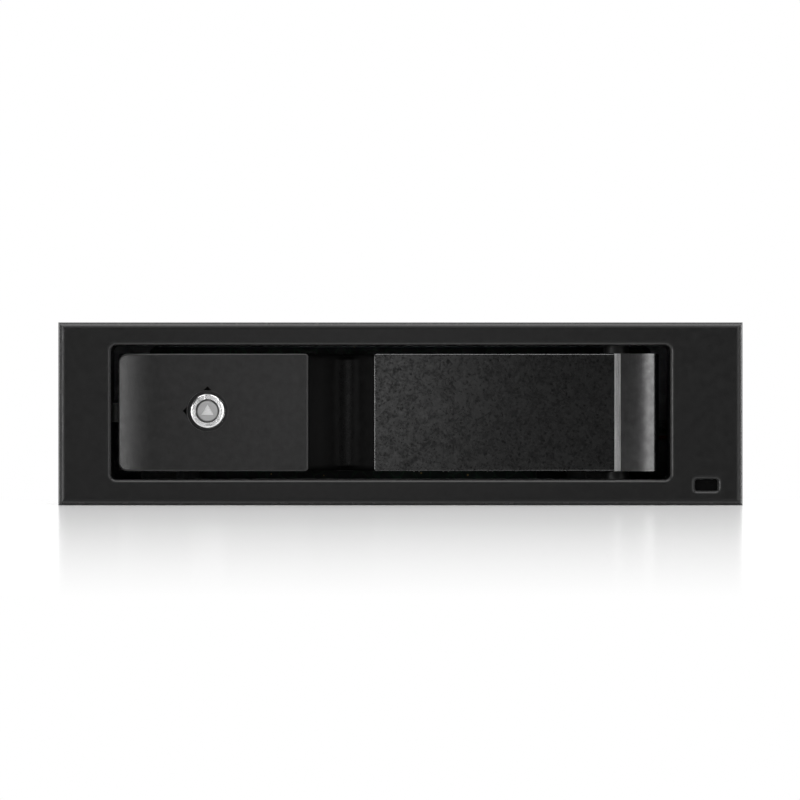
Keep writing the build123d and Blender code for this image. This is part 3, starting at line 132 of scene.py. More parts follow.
class CageFinishes(bpy.types.PropertyGroup):
    """Colours and grain of the cage's materials."""

    bezel: colour("Bezel", "Black plastic of the front moulding", 0.0014)
    door: colour("Door body", "Black plastic of the scoop", 0.0008)
    panel: colour("Lock panel", "Black plastic of the plate round the lock", 0.0032)
    handle_dark: colour("Handle, dark", "Hollows in the grain of the handle's black metal", 0.0058)
    handle_light: colour("Handle, light", "Peaks in the grain of the handle's black metal", 0.036)
    barrel: colour("Barrel", "Black anodised cover of the hinge barrel", 0.070)
    trim: colour("Trim", "Bright strip beside the hinge barrel", 0.78)
    zinc_dark: colour("Zinc, dark", "Darker crystals of the galvanised sheet", 0.27, 0.28, 0.29)
    zinc_light: colour("Zinc, light", "Lighter crystals of the galvanised sheet", 0.41, 0.42, 0.43)
    rail: colour("Rails", "Dark grey plastic of the drive rails", 0.014)
    bush: colour("Bushes", "Plastic of the hinge bushes", 0.008)
    catch: colour("Catch", "Plastic of the sprung catch", 0.006)
    spring: colour("Spring steel", "Springs and the lock's cam", 0.46, 0.46, 0.47)
    # Painted shade: the ejector, its crank and the hinge pin get near black steel so that the gap under
    # the handle stays dark.
    painted_shade_steel: colour("Blackened steel", "Oiled black steel of the ejector and the hinge pin", 0.030)
    screw: colour("Screws", "Zinc plate on the screws and studs", 0.62, 0.62, 0.63)
    brass: colour("Brass", "Standoffs and the lock's nut", 0.66, 0.45, 0.19)
    lock: colour("Lock sleeve", "Chrome of the lock's ring", 0.66)
    core: colour("Lock core", "Satin nickel of the lock's core", 0.54)
    # Painted shade: the boards' mask and tracks are kept near black, darker than solder mask, because
    # they sit deep in the cage's shade.
    board: colour("Board", "Solder mask of the circuit boards", 0.002, 0.013, 0.006)
    copper: colour("Tracks", "Solder mask over copper tracks", 0.005, 0.028, 0.012)
    socket: colour("Sockets", "Black plastic of the connectors", 0.012)
    lens: colour("Lens", "Smoked window over the status light", 0.0012)
    ribbon: colour("Ribbon", "Jacket of the flat lead", 0.36, 0.36, 0.37)
    ribbon_first: colour("First wire", "Marked wire at the ribbon's lower edge", 0.30, 0.02, 0.02)
    rubber: colour("Rubber", "Pads that press on the drive", 0.018)
    contact: colour("Contacts", "Gilt contacts in the connectors", 0.83, 0.58, 0.24)
    chip: colour("Chips", "Bodies of the board's small parts", 0.025)
    ink: colour("Marks", "Black marks for the lock's two positions", 0.0003)
    handle_grain: length("Handle grain", "Size of the lumps in the handle's coat", 0.75)
    plastic_grain: length("Plastic grain", "Size of the fine texture on the mouldings", 0.22)
    crystal: length("Zinc crystals", "Size of the zinc's crystals", 3.6)


class CageDetails(bpy.types.PropertyGroup):
    """Sizes of the small hardware."""

    cross_length: share("Cross length", "Arm of a screw's recess, as a share of its head's radius", 0.58)
    cross_width: share("Cross width", "Half width of that recess, as a share of the same", 0.15)
    thread_pitch: length("Thread pitch", "Pitch of the screws' threads", 0.5)
    thread_depth: length("Thread depth", "Depth of the screws' threads", 0.22)
    contact_pitch: length("Contact pitch", "Distance between two contacts", 1.27)
    contact_width: length("Contact width", "Width of one contact", 0.72)
    data_contacts: whole("Data contacts", "Contacts in a data connector", 7)
    power_contacts: whole("Power contacts", "Contacts in a power connector", 15)
    part_length: length("Part length", "Length of a small part on the board", 1.6)
    part_share: share("Part share", "Share of the board's places that carry a part", 0.42)
    seed: whole("Seed", "Seed for the screws' turns and the board's parts", 7)
    spring_turns: whole("Spring turns", "Turns of the catch's coil spring", 6)
    spring_wire: length("Spring wire", "Diameter of that spring's wire", 0.4)
    mark_distance: length("Mark distance", "Distance of a mark from the lock's middle", 4.5)
    mark_width: length("Mark width", "Width of a mark beside the lock", 1.75)
    mark_height: length("Mark height", "Height of a mark beside the lock", 0.85)
    mark_thickness: length("Mark thickness", "Thickness of the marks' ink", 0.03)


class CageStage(bpy.types.PropertyGroup):
    """Camera, lamps and floor."""

    lens: bpy.props.FloatProperty(
        name="Lens", description="Focal length on a 36 mm sensor", default=250.0, min=1.0, unit="CAMERA"
    )
    frame_width: length("Frame width", "What the camera's frame spans at the bezel's face", 174.0)
    aim_x: bpy.props.FloatProperty(
        name="Aim across", description="Middle of the frame, across", default=-0.1 * MM, unit="LENGTH"
    )
    aim_z: length("Aim height", "Middle of the frame, above the floor", 22.9)
    top_level: level("Top", "Softbox overhead", 5.4)
    brow_level: level("Brow", "Softbox above the camera", 2.2)
    left_level: level("Left", "Strip box on the left", 16.0)
    right_level: level("Right", "Softbox on the right", 5.2)
    left_rim: level("Left rim", "Strip box behind the left end", 5.0)
    right_rim: level("Right rim", "Strip box behind the right end", 9.0)
    near_level: level("Near", "Small box close to the front", 5.0)
    room_level: share("Room", "Even light from all round", 0.20)
    front_level: share("Room in front", "What polished faces see of the side behind the camera", 0.05)
    floor_reach: length("Floor reach", "Distance ahead at which the floor has turned plain white", 560.0)
    floor_back: length("Floor back", "Distance behind the bezel's face at which it has done so", 60.0)
    floor_side: length("Floor side", "Distance beside the bezel at which it has done so", 120.0)
    floor_gloss: share("Floor roughness", "Roughness of the floor's sheen", 0.15)


class Nodes:
    """A node tree and short ways to fill it."""

    def __init__(self, tree):
        self.tree = tree

    def add(self, kind, **settings):
        node = self.tree.nodes.new(kind)
        for key, value in settings.items():
            setattr(node, key, value)
        return node

    def feed(self, socket, value):
        """Link an output to a socket, or set the socket to a plain value."""
        if isinstance(value, bpy.types.NodeSocket):
            self.tree.links.new(value, socket)
        elif socket.type == "RGBA":
            socket.default_value = (*value, 1.0)
        else:
            socket.default_value = value

    def plug(self, node, **values):
        """Feed a node's inputs, named with _ for a space."""
        for key, value in values.items():
            self.feed(node.inputs[key.replace("_", " ")], value)
        return node

    def calc(self, operation, *values):
        node = self.add("ShaderNodeMath", operation=operation)
        for socket, value in zip(node.inputs, values):
            self.feed(socket, value)
        return node.outputs["Value"]

    def times(self, first, second):
        return self.calc("MULTIPLY", first, second)

    def plus(self, first, second):
        return self.calc("ADD", first, second)

    def axis(self, key, vector):
        """One component of a vector."""
        return self.plug(self.add("ShaderNodeSeparateXYZ"), Vector=vector).outputs[key]

    def span(self, value, low=0.0, high=1.0, start=0.3, end=0.7):
        """A value from start to end, mapped to low to high and held there."""
        node = self.add("ShaderNodeMapRange", clamp=True)
        self.plug(node, Value=value, From_Min=start, From_Max=end, To_Min=low, To_Max=high)
        return node.outputs["Result"]


class Finish(Nodes):
    """One procedural material, read from Object coordinates."""

    def __init__(self, name):
        self.material = bpy.data.materials.new(name)
        self.material.use_nodes = True
        super().__init__(self.material.node_tree)
        self.tree.nodes.clear()
        self.surface = self.add("ShaderNodeBsdfPrincipled")
        self.output = self.add("ShaderNodeOutputMaterial")
        self.plug(self.output, Surface=self.surface.outputs["BSDF"])
        texture = self.add("ShaderNodeTexCoord").outputs
        self.place, self.facing = texture["Object"], texture["Normal"]
        self.normal = None

    def put(self, **values):
        """Set the surface's own sockets."""
        self.plug(self.surface, **values)
        return self

    def look(self, base, gloss, metal=0.0, sheen=0.5):
        """Set the surface's colour, roughness, metal and sheen."""
        return self.put(Base_Color=base, Roughness=gloss, Metallic=metal, Specular_IOR_Level=sheen)

    def had(self, key):
        """What a socket of the surface is fed with so far."""
        return self.surface.inputs[key].links[0].from_socket

    def mapped(self, stretch=(1.0, 1.0, 1.0), centre=(0.0, 0.0, 0.0)):
        """Object coordinates about a point, drawn out along the axes with a stretch above 1."""
        scale = [1.0 / s for s in stretch]
        location = [-c * s for c, s in zip(centre, scale)]
        node = self.add("ShaderNodeMapping", vector_type="POINT")
        return self.plug(node, Vector=self.place, Scale=scale, Location=location).outputs["Vector"]

    def noise(self, size, detail=3.0, rough=0.5, stretch=None):
        place = self.mapped(stretch) if stretch else self.place
        node = self.add("ShaderNodeTexNoise")
        self.plug(node, Vector=place, Scale=1.0 / size, Detail=detail, Roughness=rough)
        return node.outputs["Fac"]

    def cells(self, size, output="Distance", feature="F1"):
        node = self.add("ShaderNodeTexVoronoi", feature=feature)
        return self.plug(node, Vector=self.place, Scale=1.0 / size).outputs[output]

    def bands(self, size, axis, centre, rings=False):
        """Waves of a size along an axis, or rings about it."""
        node = self.add("ShaderNodeTexWave", wave_type="RINGS" if rings else "BANDS")
        setattr(node, "rings_direction" if rings else "bands_direction", axis)
        scale = math.tau / (20.0 * size)
        return self.plug(node, Vector=self.mapped(centre=centre), Scale=scale, Detail=0.0).outputs["Fac"]

    def mix(self, factor, first, second):
        node = self.add("ShaderNodeMix", data_type="RGBA")
        self.feed(node.inputs["Factor"], factor)
        colours = [socket for socket in node.inputs if socket.type == "RGBA"]
        self.feed(colours[0], first)
        self.feed(colours[1], second)
        return next(socket for socket in node.outputs if socket.type == "RGBA")

    def mottle(self, value, tint, low, high, start=0.3, end=0.7):
        """A tint that goes from low to high times its tone as a value goes from start to end."""
        return self.mix(self.span(value, 0.0, 1.0, start, end), shade(tint, low), shade(tint, high))

    def worn(self, base, where, amount, tone):
        """A base colour with some of another tone where a mask is 1, used for real wear and flecks and
        for painted highlights on edges and roundings.
        """
        return self.mix(self.times(where, amount), base, tone)

    def bump(self, height, depth):
        """Raise the surface by a height of that depth in metres, on top of any bump before it."""
        node = self.plug(self.add("ShaderNodeBump"), Distance=depth, Strength=1.0, Height=height)
        if self.normal is not None:
            self.plug(node, Normal=self.normal)
        self.normal = node.outputs["Normal"]
        return self.put(Normal=self.normal)

    def edges(self, radius):
        """1 along edges and 0 on flat faces."""
        soft = self.plug(self.add("ShaderNodeBevel", samples=4), Radius=radius)
        dot = self.add("ShaderNodeVectorMath", operation="DOT_PRODUCT")
        self.feed(dot.inputs[0], soft.outputs["Normal"])
        self.feed(dot.inputs[1], self.add("ShaderNodeNewGeometry").outputs["Normal"])
        mask = self.span(dot.outputs["Value"], 1.0, 0.0, 0.86, 0.995)
        return self.times(mask, self.span(self.noise(2.2 * MM), 0.25, 1.0, 0.35, 0.65))

    def roundings(self):
        """1 on the rounded borders of faces that look along the cage, and 0 on flat faces and walls."""
        along = self.calc("ABSOLUTE", self.axis("Y", self.facing))
        return self.times(self.span(along, 1.0, 0.0, 0.80, 0.93), self.span(along, 0.0, 1.0, 0.1, 0.4))

    def on(self, *nodes):
        """Cover CAD nodes, in place of their plain colour."""
        for name in nodes:
            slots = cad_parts[name].material_slots
            if not slots:
                raise RuntimeError(f"{name} has no material slot")
            for slot in slots:
                slot.material = self.material


def shade(tint, factor):
    """A tint made darker or lighter."""
    return [min(1.0, factor * c) for c in tint]


def moulded(name, tint, grain, rough=(0.34, 0.46), edge_wear_and_highlight_tone=0.035, depth=0.012, sheen=0.20, polish=0.0):
    """Black moulded plastic: fine spark texture, cloudy gloss, worn edges and roundings with a painted
    highlight, polished where asked.
    """
    coat = Finish(name)
    base = coat.mottle(coat.noise(1.3 * MM, 5.0, 0.6), tint, 0.45, 1.6)
    # Edges and roundings get a lighter tone: partly real wear, partly a painted highlight.
    edge_wear_and_highlight = coat.calc("MAXIMUM", coat.edges(0.25 * MM), coat.roundings())
    base = coat.worn(base, edge_wear_and_highlight, 0.5, (edge_wear_and_highlight_tone,) * 3)
    gloss = coat.span(coat.noise(1.8 * MM, 3.0, 0.6), *rough)
    if polish:
        gloss = coat.calc("SUBTRACT", gloss, coat.times(edge_wear_and_highlight, polish))
    coat.look(base, gloss, sheen=sheen)
    return coat.bump(coat.noise(grain, 2.0, 0.6), depth * MM)


def panel_plastic(settings):
    """The lock panel's plastic, with a mottle a little coarser than the bezel's."""
    grain = settings.plastic_grain
    coat = moulded("panel_plastic", settings.panel, grain, (0.31, 0.41), 0.06, sheen=0.24)
    return coat.bump(coat.noise(0.9 * MM, 3.0, 0.65), 0.022 * MM)


def door_plastic(settings, middle):
    """The door's plastic, matt but for a stripe down the scoop that fingers have polished smooth."""
    grain = settings.plastic_grain
    coat = moulded("door_plastic", settings.door, grain, (0.24, 0.32), 0.004, 0.003, 0.07)
    away = coat.calc("ABSOLUTE", coat.axis("X", coat.mapped(centre=(middle, 0.0, 0.0))))
    away = coat.plus(away, coat.times(coat.noise(3 * MM), 1.2 * MM))
    matt = coat.span(away, 0.0, 0.45, 2.0 * MM, 3.6 * MM)
    return coat.put(Roughness=coat.plus(coat.had("Roughness"), matt))


def handle_coat(settings):
    """Black anodised metal with a coarse grain: lumps, dark pits and pale flecks, and a painted highlight
    on its rounded borders.
    """
    coat = Finish("handle_coat")
    grain, dark, light = settings.handle_grain, settings.handle_dark, settings.handle_light
    coarse = coat.noise(2.4 * grain, 3.0, 0.6)
    lumps = coat.mix(0.4, coat.noise(0.75 * grain, 4.0, 0.7), coarse)
    pits = coat.span(coat.cells(1.5 * grain), 0.0, 1.0, 0.06, 0.30)
    flecks = coat.span(coat.cells(0.8 * grain), 1.0, 0.0, 0.04, 0.16)
    base = coat.mix(coat.span(lumps, 0.0, 1.0, 0.30, 0.72), dark, light)
    base = coat.worn(base, flecks, 0.35, shade(light, 1.8))
    base = coat.mix(pits, dark, base)
    # Painted highlight: the handle's rounded borders are mixed towards a lighter grey.
    base = coat.worn(base, coat.roundings(), 0.6, (0.16,) * 3)
    coat.look(base, coat.span(lumps, 0.30, 0.24), 1.0)
    return coat.bump(lumps, 0.007 * MM).bump(pits, 0.004 * MM)


def anodised(settings):
    """Smooth black anodised metal with faint drawing lines and cloudy gloss."""
    coat = Finish("barrel_coat")
    cloud = coat.noise(1.6 * MM, 4.0, 0.6)
    lines = coat.noise(1.0, 3.0, 0.6, (0.12 * MM, 0.12 * MM, 9 * MM))
    base = coat.mottle(cloud, settings.barrel, 0.78, 1.2)
    base = coat.worn(base, coat.edges(0.25 * MM), 0.4, (0.3,) * 3)
    coat.look(base, coat.span(lines, 0.17, 0.25), 1.0)
    return coat.bump(lines, 0.0008 * MM).bump(cloud, 0.0015 * MM)


def brushed(name, tint, along, rough=(0.24, 0.36)):
    """Bright metal with fine lines along one axis and faint cloudy tarnish."""
    coat = Finish(name)
    stretch = [9 * MM if axis == along else 0.06 * MM for axis in "XYZ"]
    lines = coat.noise(1.0, 3.0, 0.6, stretch)
    base = coat.mottle(coat.noise(5 * MM), tint, 0.86, 1.06)
    coat.look(base, coat.span(lines, *rough), 1.0)
    return coat.bump(lines, 0.0012 * MM)


def plated(name, tint, rough=(0.22, 0.38), grain=0.5, depth=0.0015):
    """Plated or drawn metal with small stains and a faint orange peel."""
    coat = Finish(name)
    stain = coat.noise(2.4 * MM, 4.0, 0.6)
    base = coat.mottle(stain, tint, 0.72, 1.0, 0.32, 0.62)
    base = coat.worn(base, coat.edges(0.15 * MM), 0.6, shade(tint, 1.25))
    coat.look(base, coat.span(stain, *rough, 0.7, 0.3), 1.0)
    return coat.bump(coat.noise(grain * MM, 2.0), depth * MM)


def galvanised(settings):
    """Zinc sheet: crystals of differing tone and gloss, rolling lines and bright cut edges."""
    coat = Finish("galvanised_sheet")
    crystal = coat.add("ShaderNodeSeparateColor")
    tones = coat.plug(crystal, Color=coat.cells(settings.crystal, "Color")).outputs
    feather = coat.noise(1.1 * MM, 4.0, 0.6)
    rolling = coat.noise(1.0, 2.0, 0.5, (0.25 * MM, 30 * MM, 0.25 * MM))
    tone = coat.plus(coat.times(tones["Red"], 0.5), coat.times(feather, 0.5))
    base = coat.mix(tone, settings.zinc_dark, settings.zinc_light)
    base = coat.mix(coat.span(rolling, 0.0, 0.25, 0.55, 0.75), base, settings.zinc_dark)
    base = coat.worn(base, coat.edges(0.3 * MM), 0.5, (0.60, 0.60, 0.61))
    gloss = coat.plus(coat.times(tones["Green"], 0.12), coat.times(rolling, 0.12))
    coat.look(base, coat.plus(gloss, 0.26), 1.0)
    return coat.bump(feather, 0.003 * MM).bump(rolling, 0.002 * MM)


def turned(name, tint, middle, rough, step=0.16):
    """Lock metal turned on a lathe, with fine rings about the lock's own axis."""
    coat = Finish(name)
    rings = coat.bands(step * MM, "Y", middle, rings=True)
    base = coat.mottle(coat.noise(1.6 * MM), tint, 0.85, 1.0)
    coat.look(base, coat.span(rings, *rough, 0.0, 1.0), 1.0)
    return coat.bump(rings, 0.002 * MM)


def lock_nickel(settings, middle, stud, rim):
    """The lock's core: a satin face, a stud polished by keys and painted shade in the corner beside the
    sleeve.
    """
    core = settings.core
    coat = turned("lock_nickel", core, middle, (0.28, 0.40), 0.22)
    about = coat.mapped(centre=middle)
    ahead = stud - middle.y
    raised = coat.span(coat.axis("Y", about), 1.0, 0.0, ahead + 0.15 * MM, ahead + 0.3 * MM)
    squares = [coat.times(side, side) for side in (coat.axis("X", about), coat.axis("Z", about))]
    away = coat.calc("SQRT", coat.plus(*squares))
    # Painted shade: a dark ring on the core's face just inside the sleeve, where the corner is shaded.
    corner_shade = coat.span(away, 0.0, 1.0, rim - 0.55 * MM, rim - 0.25 * MM)
    face = coat.mix(raised, shade(core, 0.50), shade(core, 1.45))
    face = coat.mix(0.20, face, coat.had("Base Color"))
    gloss = coat.times(coat.had("Roughness"), coat.span(raised, 1.0, 0.55, 0.0, 1.0))
    coat.put(Base_Color=coat.mix(corner_shade, face, (0.20,) * 3))
    return coat.put(Roughness=coat.plus(gloss, coat.times(corner_shade, 0.2)))


def board_mask(settings):
    """Circuit board: solder mask, tracks under it and small plated holes, all darkened as painted shade
    for the boards' place deep in the cage.
    """
    coat = Finish("board_mask")
    pitch = 3.2 * MM
    tracks = coat.span(coat.cells(pitch, feature="DISTANCE_TO_EDGE"), 1.0, 0.0, 0.035, 0.06)
    holes = coat.span(coat.cells(pitch), 1.0, 0.0, 0.07, 0.09)
    weave = coat.noise(0.7 * MM, 2.0)
    base = coat.mix(tracks, coat.mottle(weave, settings.board, 0.8, 1.0), settings.copper)
    # Painted shade: the plated holes get a dull dark brass.
    base = coat.mix(holes, base, (0.30, 0.22, 0.10))
    coat.look(base, coat.span(weave, 0.28, 0.40), coat.times(holes, 0.9))
    return coat.bump(tracks, 0.03 * MM).bump(weave, 0.004 * MM)


def smoked_lens(settings):
    """Smoked window: deep black with a polished face and a faint haze."""
    coat = Finish("smoked_lens")
    haze = coat.noise(0.8 * MM)
    base = coat.mottle(haze, settings.lens, 1.0, 2.0)
    coat.look(base, coat.span(haze, 0.07, 0.16), sheen=0.04)
    return coat.bump(haze, 0.001 * MM)


def ribbon_jacket(settings):
    """Flat lead: a rib for each of its five wires, with the first one marked."""
    low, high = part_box("status_ribbon")
    pitch = (high.z - low.z) / 5
    coat = Finish("ribbon_jacket")
    dust = coat.noise(3 * MM)
    height = coat.axis("Z", coat.place)
    first = coat.span(height, 1.0, 0.0, low.z + 0.9 * pitch, low.z + 1.1 * pitch)
    base = coat.mix(first, coat.mottle(dust, settings.ribbon, 0.85, 1.0), settings.ribbon_first)
    coat.look(base, coat.span(dust, 0.42, 0.55))
    return coat.bump(coat.bands(pitch, "Z", (0.0, 0.0, low.z + pitch / 4)), 0.15 * MM)


def chip_body(settings):
    """Small board parts: dark bodies with tinned ends, told apart by the mesh's own attribute."""
    coat = Finish("chip_body")
    end = coat.add("ShaderNodeAttribute", attribute_name="tinned").outputs["Fac"]
    grain = coat.noise(0.25 * MM, 2.0)
    body = coat.mottle(grain, settings.chip, 0.7, 1.3, 0.0, 1.0)
    base = coat.mix(end, body, (0.62, 0.62, 0.60))
    coat.look(base, coat.span(grain, 0.32, 0.5), end)
    return coat.bump(grain, 0.006 * MM)


def mark_ink(settings):
    """Ink of the marks beside the lock, a little worn."""
    coat = Finish("mark_ink")
    worn = coat.noise(0.3 * MM, 3.0, 0.6)
    base = coat.mix(coat.span(worn, 0.0, 0.3, 0.6, 0.75), settings.ink, settings.panel)
    coat.look(base, coat.span(worn, 0.55, 0.7), sheen=0.01)
    return coat.bump(worn, 0.004 * MM)


def middle_of(node):
    low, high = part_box(node)
    return (low + high) / 2


def new_piece(name, mesh):
    piece = bpy.data.objects.new(name, mesh)
    bpy.context.scene.collection.objects.link(piece)
    return piece


def new_points(name, places=()):
    """A piece of loose points, for a node tree to build on."""
    mesh = bpy.data.meshes.new(name)
    mesh.from_pydata([tuple(p) for p in places], [], [])
    return new_piece(name, mesh)


def mesh_from(name, work, angle=35.0):
    """A mesh from a bmesh, with its faces turned outwards and only sharp corners left sharp."""
    bmesh.ops.remove_doubles(work, verts=work.verts, dist=1e-7)
    bmesh.ops.recalc_face_normals(work, faces=work.faces)
    mesh = bpy.data.meshes.new(name)
    work.to_mesh(mesh)
    work.free()
    mesh.polygons.foreach_set("use_smooth", [True] * len(mesh.polygons))
    mesh.set_sharp_from_angle(angle=math.radians(angle))
    return mesh


def solid(work, corners, step):
    """A flat outline of corners made solid along a step."""
    face = work.faces.new([work.verts.new(corner) for corner in corners])
    made = bmesh.ops.extrude_face_region(work, geom=[face])
    far = [v for v in made["geom"] if isinstance(v, bmesh.types.BMVert)]
    bmesh.ops.translate(work, verts=far, vec=step)


def prism(work, outline, y0, y1):
    """A flat outline of (x, z) points made solid from y0 to y1."""
    solid(work, [(x, y0, z) for x, z in outline], (0.0, y1 - y0, 0.0))


def leaf_mesh(name, outline, width):
    """A narrow contact: a side view of (y, z) points, made as wide as asked along X."""
    work = bmesh.new()
    solid(work, [(-width / 2, y * MM, z * MM) for y, z in outline], (width, 0.0, 0.0))
    return mesh_from(name, work, 25.0)


def ring(work, radius, z):
    turns = [math.tau * i / SCREW_SIDES for i in range(SCREW_SIDES)]
    return [work.verts.new((radius * math.cos(a), radius * math.sin(a), z)) for a in turns]


def neighbours(items):
    """Each item with the next one, round to the first."""
    return zip(items, items[1:] + items[:1])


def bridge(work, lower, upper):
    for (a, b), (c, d) in zip(neighbours(lower), neighbours(upper)):
        work.faces.new((a, b, d, c))


def screw_mesh(name, shank, head, height, reach, details):
    """A pan head screw along Z with a cross recess and a thread. Its head's seat is at z = 0."""
    work = bmesh.new()
    root, tip = shank - details.thread_depth, 0.3 * shank
    turns = max(2, round((reach - tip) / details.thread_pitch))
    pitch = (reach - tip) / turns
    levels = [(root * 0.7, -reach), (root, tip - reach)]
    for i in range(turns):
        low = tip - reach + i * pitch
        levels += [(shank, low + 0.5 * pitch), (root, low + pitch)]
    levels[-1] = (root, 0.0)
    soft = height / 2.5
    levels += [(head, 0.0), (head, height - soft)]
    for step in (0.35, 0.7, 1.0):
        lean = step * QUARTER
        levels.append((head - soft * (1 - math.cos(lean)), height - soft * (1 - math.sin(lean))))
    rings = [ring(work, radius, z) for radius, z in levels]
    for lower, upper in zip(rings, rings[1:]):
        bridge(work, lower, upper)
    work.faces.new(rings[0])
    arm, half = details.cross_length * head, details.cross_width * head
    corner = [(arm, -half), (arm, half), (half, half), (half, arm), (-half, arm), (-half, half)]
    outline = corner + [(-x, -y) for x, y in corner]
    mouth = [work.verts.new((x, y, height)) for x, y in outline]
    rim = [work.edges.new(pair) for pair in neighbours(mouth)]
    top = [work.edges.get(pair) for pair in neighbours(rings[-1])]
    bmesh.ops.triangle_fill(work, edges=rim + top, use_beauty=True)
    floor = [work.verts.new((0.62 * x, 0.62 * y, 0.38 * height)) for x, y in outline]
    bridge(work, mouth, floor)
    work.faces.new(floor)
    return mesh_from(name, work)


def part_mesh(name, size):
    """A small two ended board part that stands off the board towards the front."""
    half, tall, deep, cap = 0.5 * size, 0.5 * size, 0.35 * size, 0.2 * size
    work = bmesh.new()
    layer = work.faces.layers.float.new("tinned")
    ends = (-half, cap - half, half - cap, half)
    for x0, x1, tinned in zip(ends, ends[1:], (1.0, 0.0, 1.0)):
        inset = 0.0 if tinned else 0.06 * size
        top = (tall - inset) / 2
        before = set(work.faces)
        prism(work, [(x0, -top), (x1, -top), (x1, top), (x0, top)], 0.0, inset - deep)
        made = [face for face in work.faces if face not in before]
        bmesh.ops.recalc_face_normals(work, faces=made)
        for face in made:
            face[layer] = tinned
    mesh = bpy.data.meshes.new(name)
    work.to_mesh(mesh)
    work.free()
    return mesh


class Tree(Nodes):
    """A Geometry Nodes tree with named inputs that ends in Realize Instances and Set Material."""

    def __init__(self, name, **sockets):
        super().__init__(bpy.data.node_groups.new(name, "GeometryNodeTree"))
        face = self.tree.interface
        face.new_socket("Geometry", in_out="INPUT", socket_type="NodeSocketGeometry")
        self.keys = {}
        for label, kind in {**sockets, "Finish": "Material"}.items():
            socket = face.new_socket(label, in_out="INPUT", socket_type="NodeSocket" + kind)
            self.keys[label] = socket.identifier
        face.new_socket("Geometry", in_out="OUTPUT", socket_type="NodeSocketGeometry")
        self.given = self.add("NodeGroupInput").outputs

    def hook(self, node, **labels):
        """Feed a node's inputs from the tree's own inputs."""
        return self.plug(node, **{key: self.given[label] for key, label in labels.items()})

    def original(self, label):
        """The mesh of the object in one of the tree's inputs."""
        node = self.add("GeometryNodeObjectInfo", transform_space="ORIGINAL")
        return self.hook(node, Object=label).outputs["Geometry"]

    def rotation(self, vector):
        return self.plug(self.add("FunctionNodeEulerToRotation"), Euler=vector).outputs["Rotation"]

    def about(self, axis, angle):
        node = self.plug(self.add("ShaderNodeCombineXYZ"), **{axis: angle})
        return self.rotation(node.outputs["Vector"])

    def placed(self, geometry, turn, label):
        """Geometry turned by plain angles and moved to where one of the tree's inputs says."""
        node = self.hook(self.add("GeometryNodeTransform"), Translation=label)
        return self.plug(node, Geometry=geometry, Rotation=self.rotation(turn)).outputs["Geometry"]

    def random(self, kind, **values):
        """A random value for each point, from the tree's seed."""
        node = self.hook(self.add("FunctionNodeRandomValue", data_type=kind), Seed="Seed")
        for key, value in values.items():
            self.feed(next(s for s in node.inputs if s.name == key and s.enabled), value)
        return next(s for s in node.outputs if s.enabled)

    def scatter(self, points, template, **more):
        node = self.add("GeometryNodeInstanceOnPoints")
        return self.plug(node, Points=points, Instance=template, **more).outputs["Instances"]

    def close(self, instances):
        whole_mesh = self.plug(self.add("GeometryNodeRealizeInstances"), Geometry=instances)
        dressed = self.hook(self.add("GeometryNodeSetMaterial"), Material="Finish")
        self.plug(dressed, Geometry=whole_mesh.outputs["Geometry"])
        self.plug(self.add("NodeGroupOutput"), Geometry=dressed.outputs["Geometry"])
        return self

    def run(self, piece, **values):
        """Run the tree on a piece and keep the result as the piece's plain mesh."""
        modifier = piece.modifiers.new("Repeat", "NODES")
        modifier.node_group = self.tree
        for label, value in values.items():
            modifier[self.keys[label]] = value
        piece.update_tag()
        graph = bpy.context.evaluated_depsgraph_get()
        mesh = bpy.data.meshes.new_from_object(
            piece.evaluated_get(graph), preserve_all_data_layers=True, depsgraph=graph
        )
        if not mesh.polygons:
            raise RuntimeError(f"{piece.name} came out empty")
        piece.modifiers.remove(modifier)
        piece.data = mesh
        mesh.name = piece.name


def screw_tree():
    """Screws on a mesh's points, all turned one way, each with its recess at a random angle."""
    tree = Tree("Screws on seats", Screw="Object", Turn="Vector", Seed="Int")
    turn = tree.rotation(tree.given["Turn"])
    screws = tree.scatter(tree.given["Geometry"], tree.original("Screw"), Rotation=turn)
    spin = tree.about("Z", tree.random("FLOAT", Min=0.0, Max=math.tau))
    node = tree.plug(tree.add("GeometryNodeRotateInstances"), Instances=screws, Rotation=spin)
    return tree.close(node.outputs["Instances"])


def contact_tree():
    """A straight row of like contacts."""
    tree = Tree("Row of contacts", Contact="Object", Count="Int", Start="Vector", Step="Vector")
    line = tree.add("GeometryNodeMeshLine", mode="OFFSET")
    tree.hook(line, Count="Count", Start_Location="Start", Offset="Step")
    return tree.close(tree.scatter(line.outputs["Mesh"], tree.original("Contact")))


def board_tree():
    """Small parts on a grid of places on a board's front, some left empty and some turned upright."""
    field = {"Width": "Float", "Height": "Float", "Columns": "Int", "Rows": "Int", "Middle": "Vector"}
    tree = Tree("Parts on board", Part="Object", Share="Float", Seed="Int", **field)
    grid = tree.add("GeometryNodeMeshGrid")
    tree.hook(grid, Size_X="Width", Size_Y="Height", Vertices_X="Columns", Vertices_Y="Rows")
    places = tree.placed(grid.outputs["Mesh"], (QUARTER, 0.0, 0.0), "Middle")
    turn = tree.about("Y", tree.times(tree.random("INT", Min=0, Max=1), QUARTER))
    keep = tree.random("BOOLEAN", Probability=tree.given["Share"])
    return tree.close(tree.scatter(places, tree.original("Part"), Rotation=turn, Selection=keep))


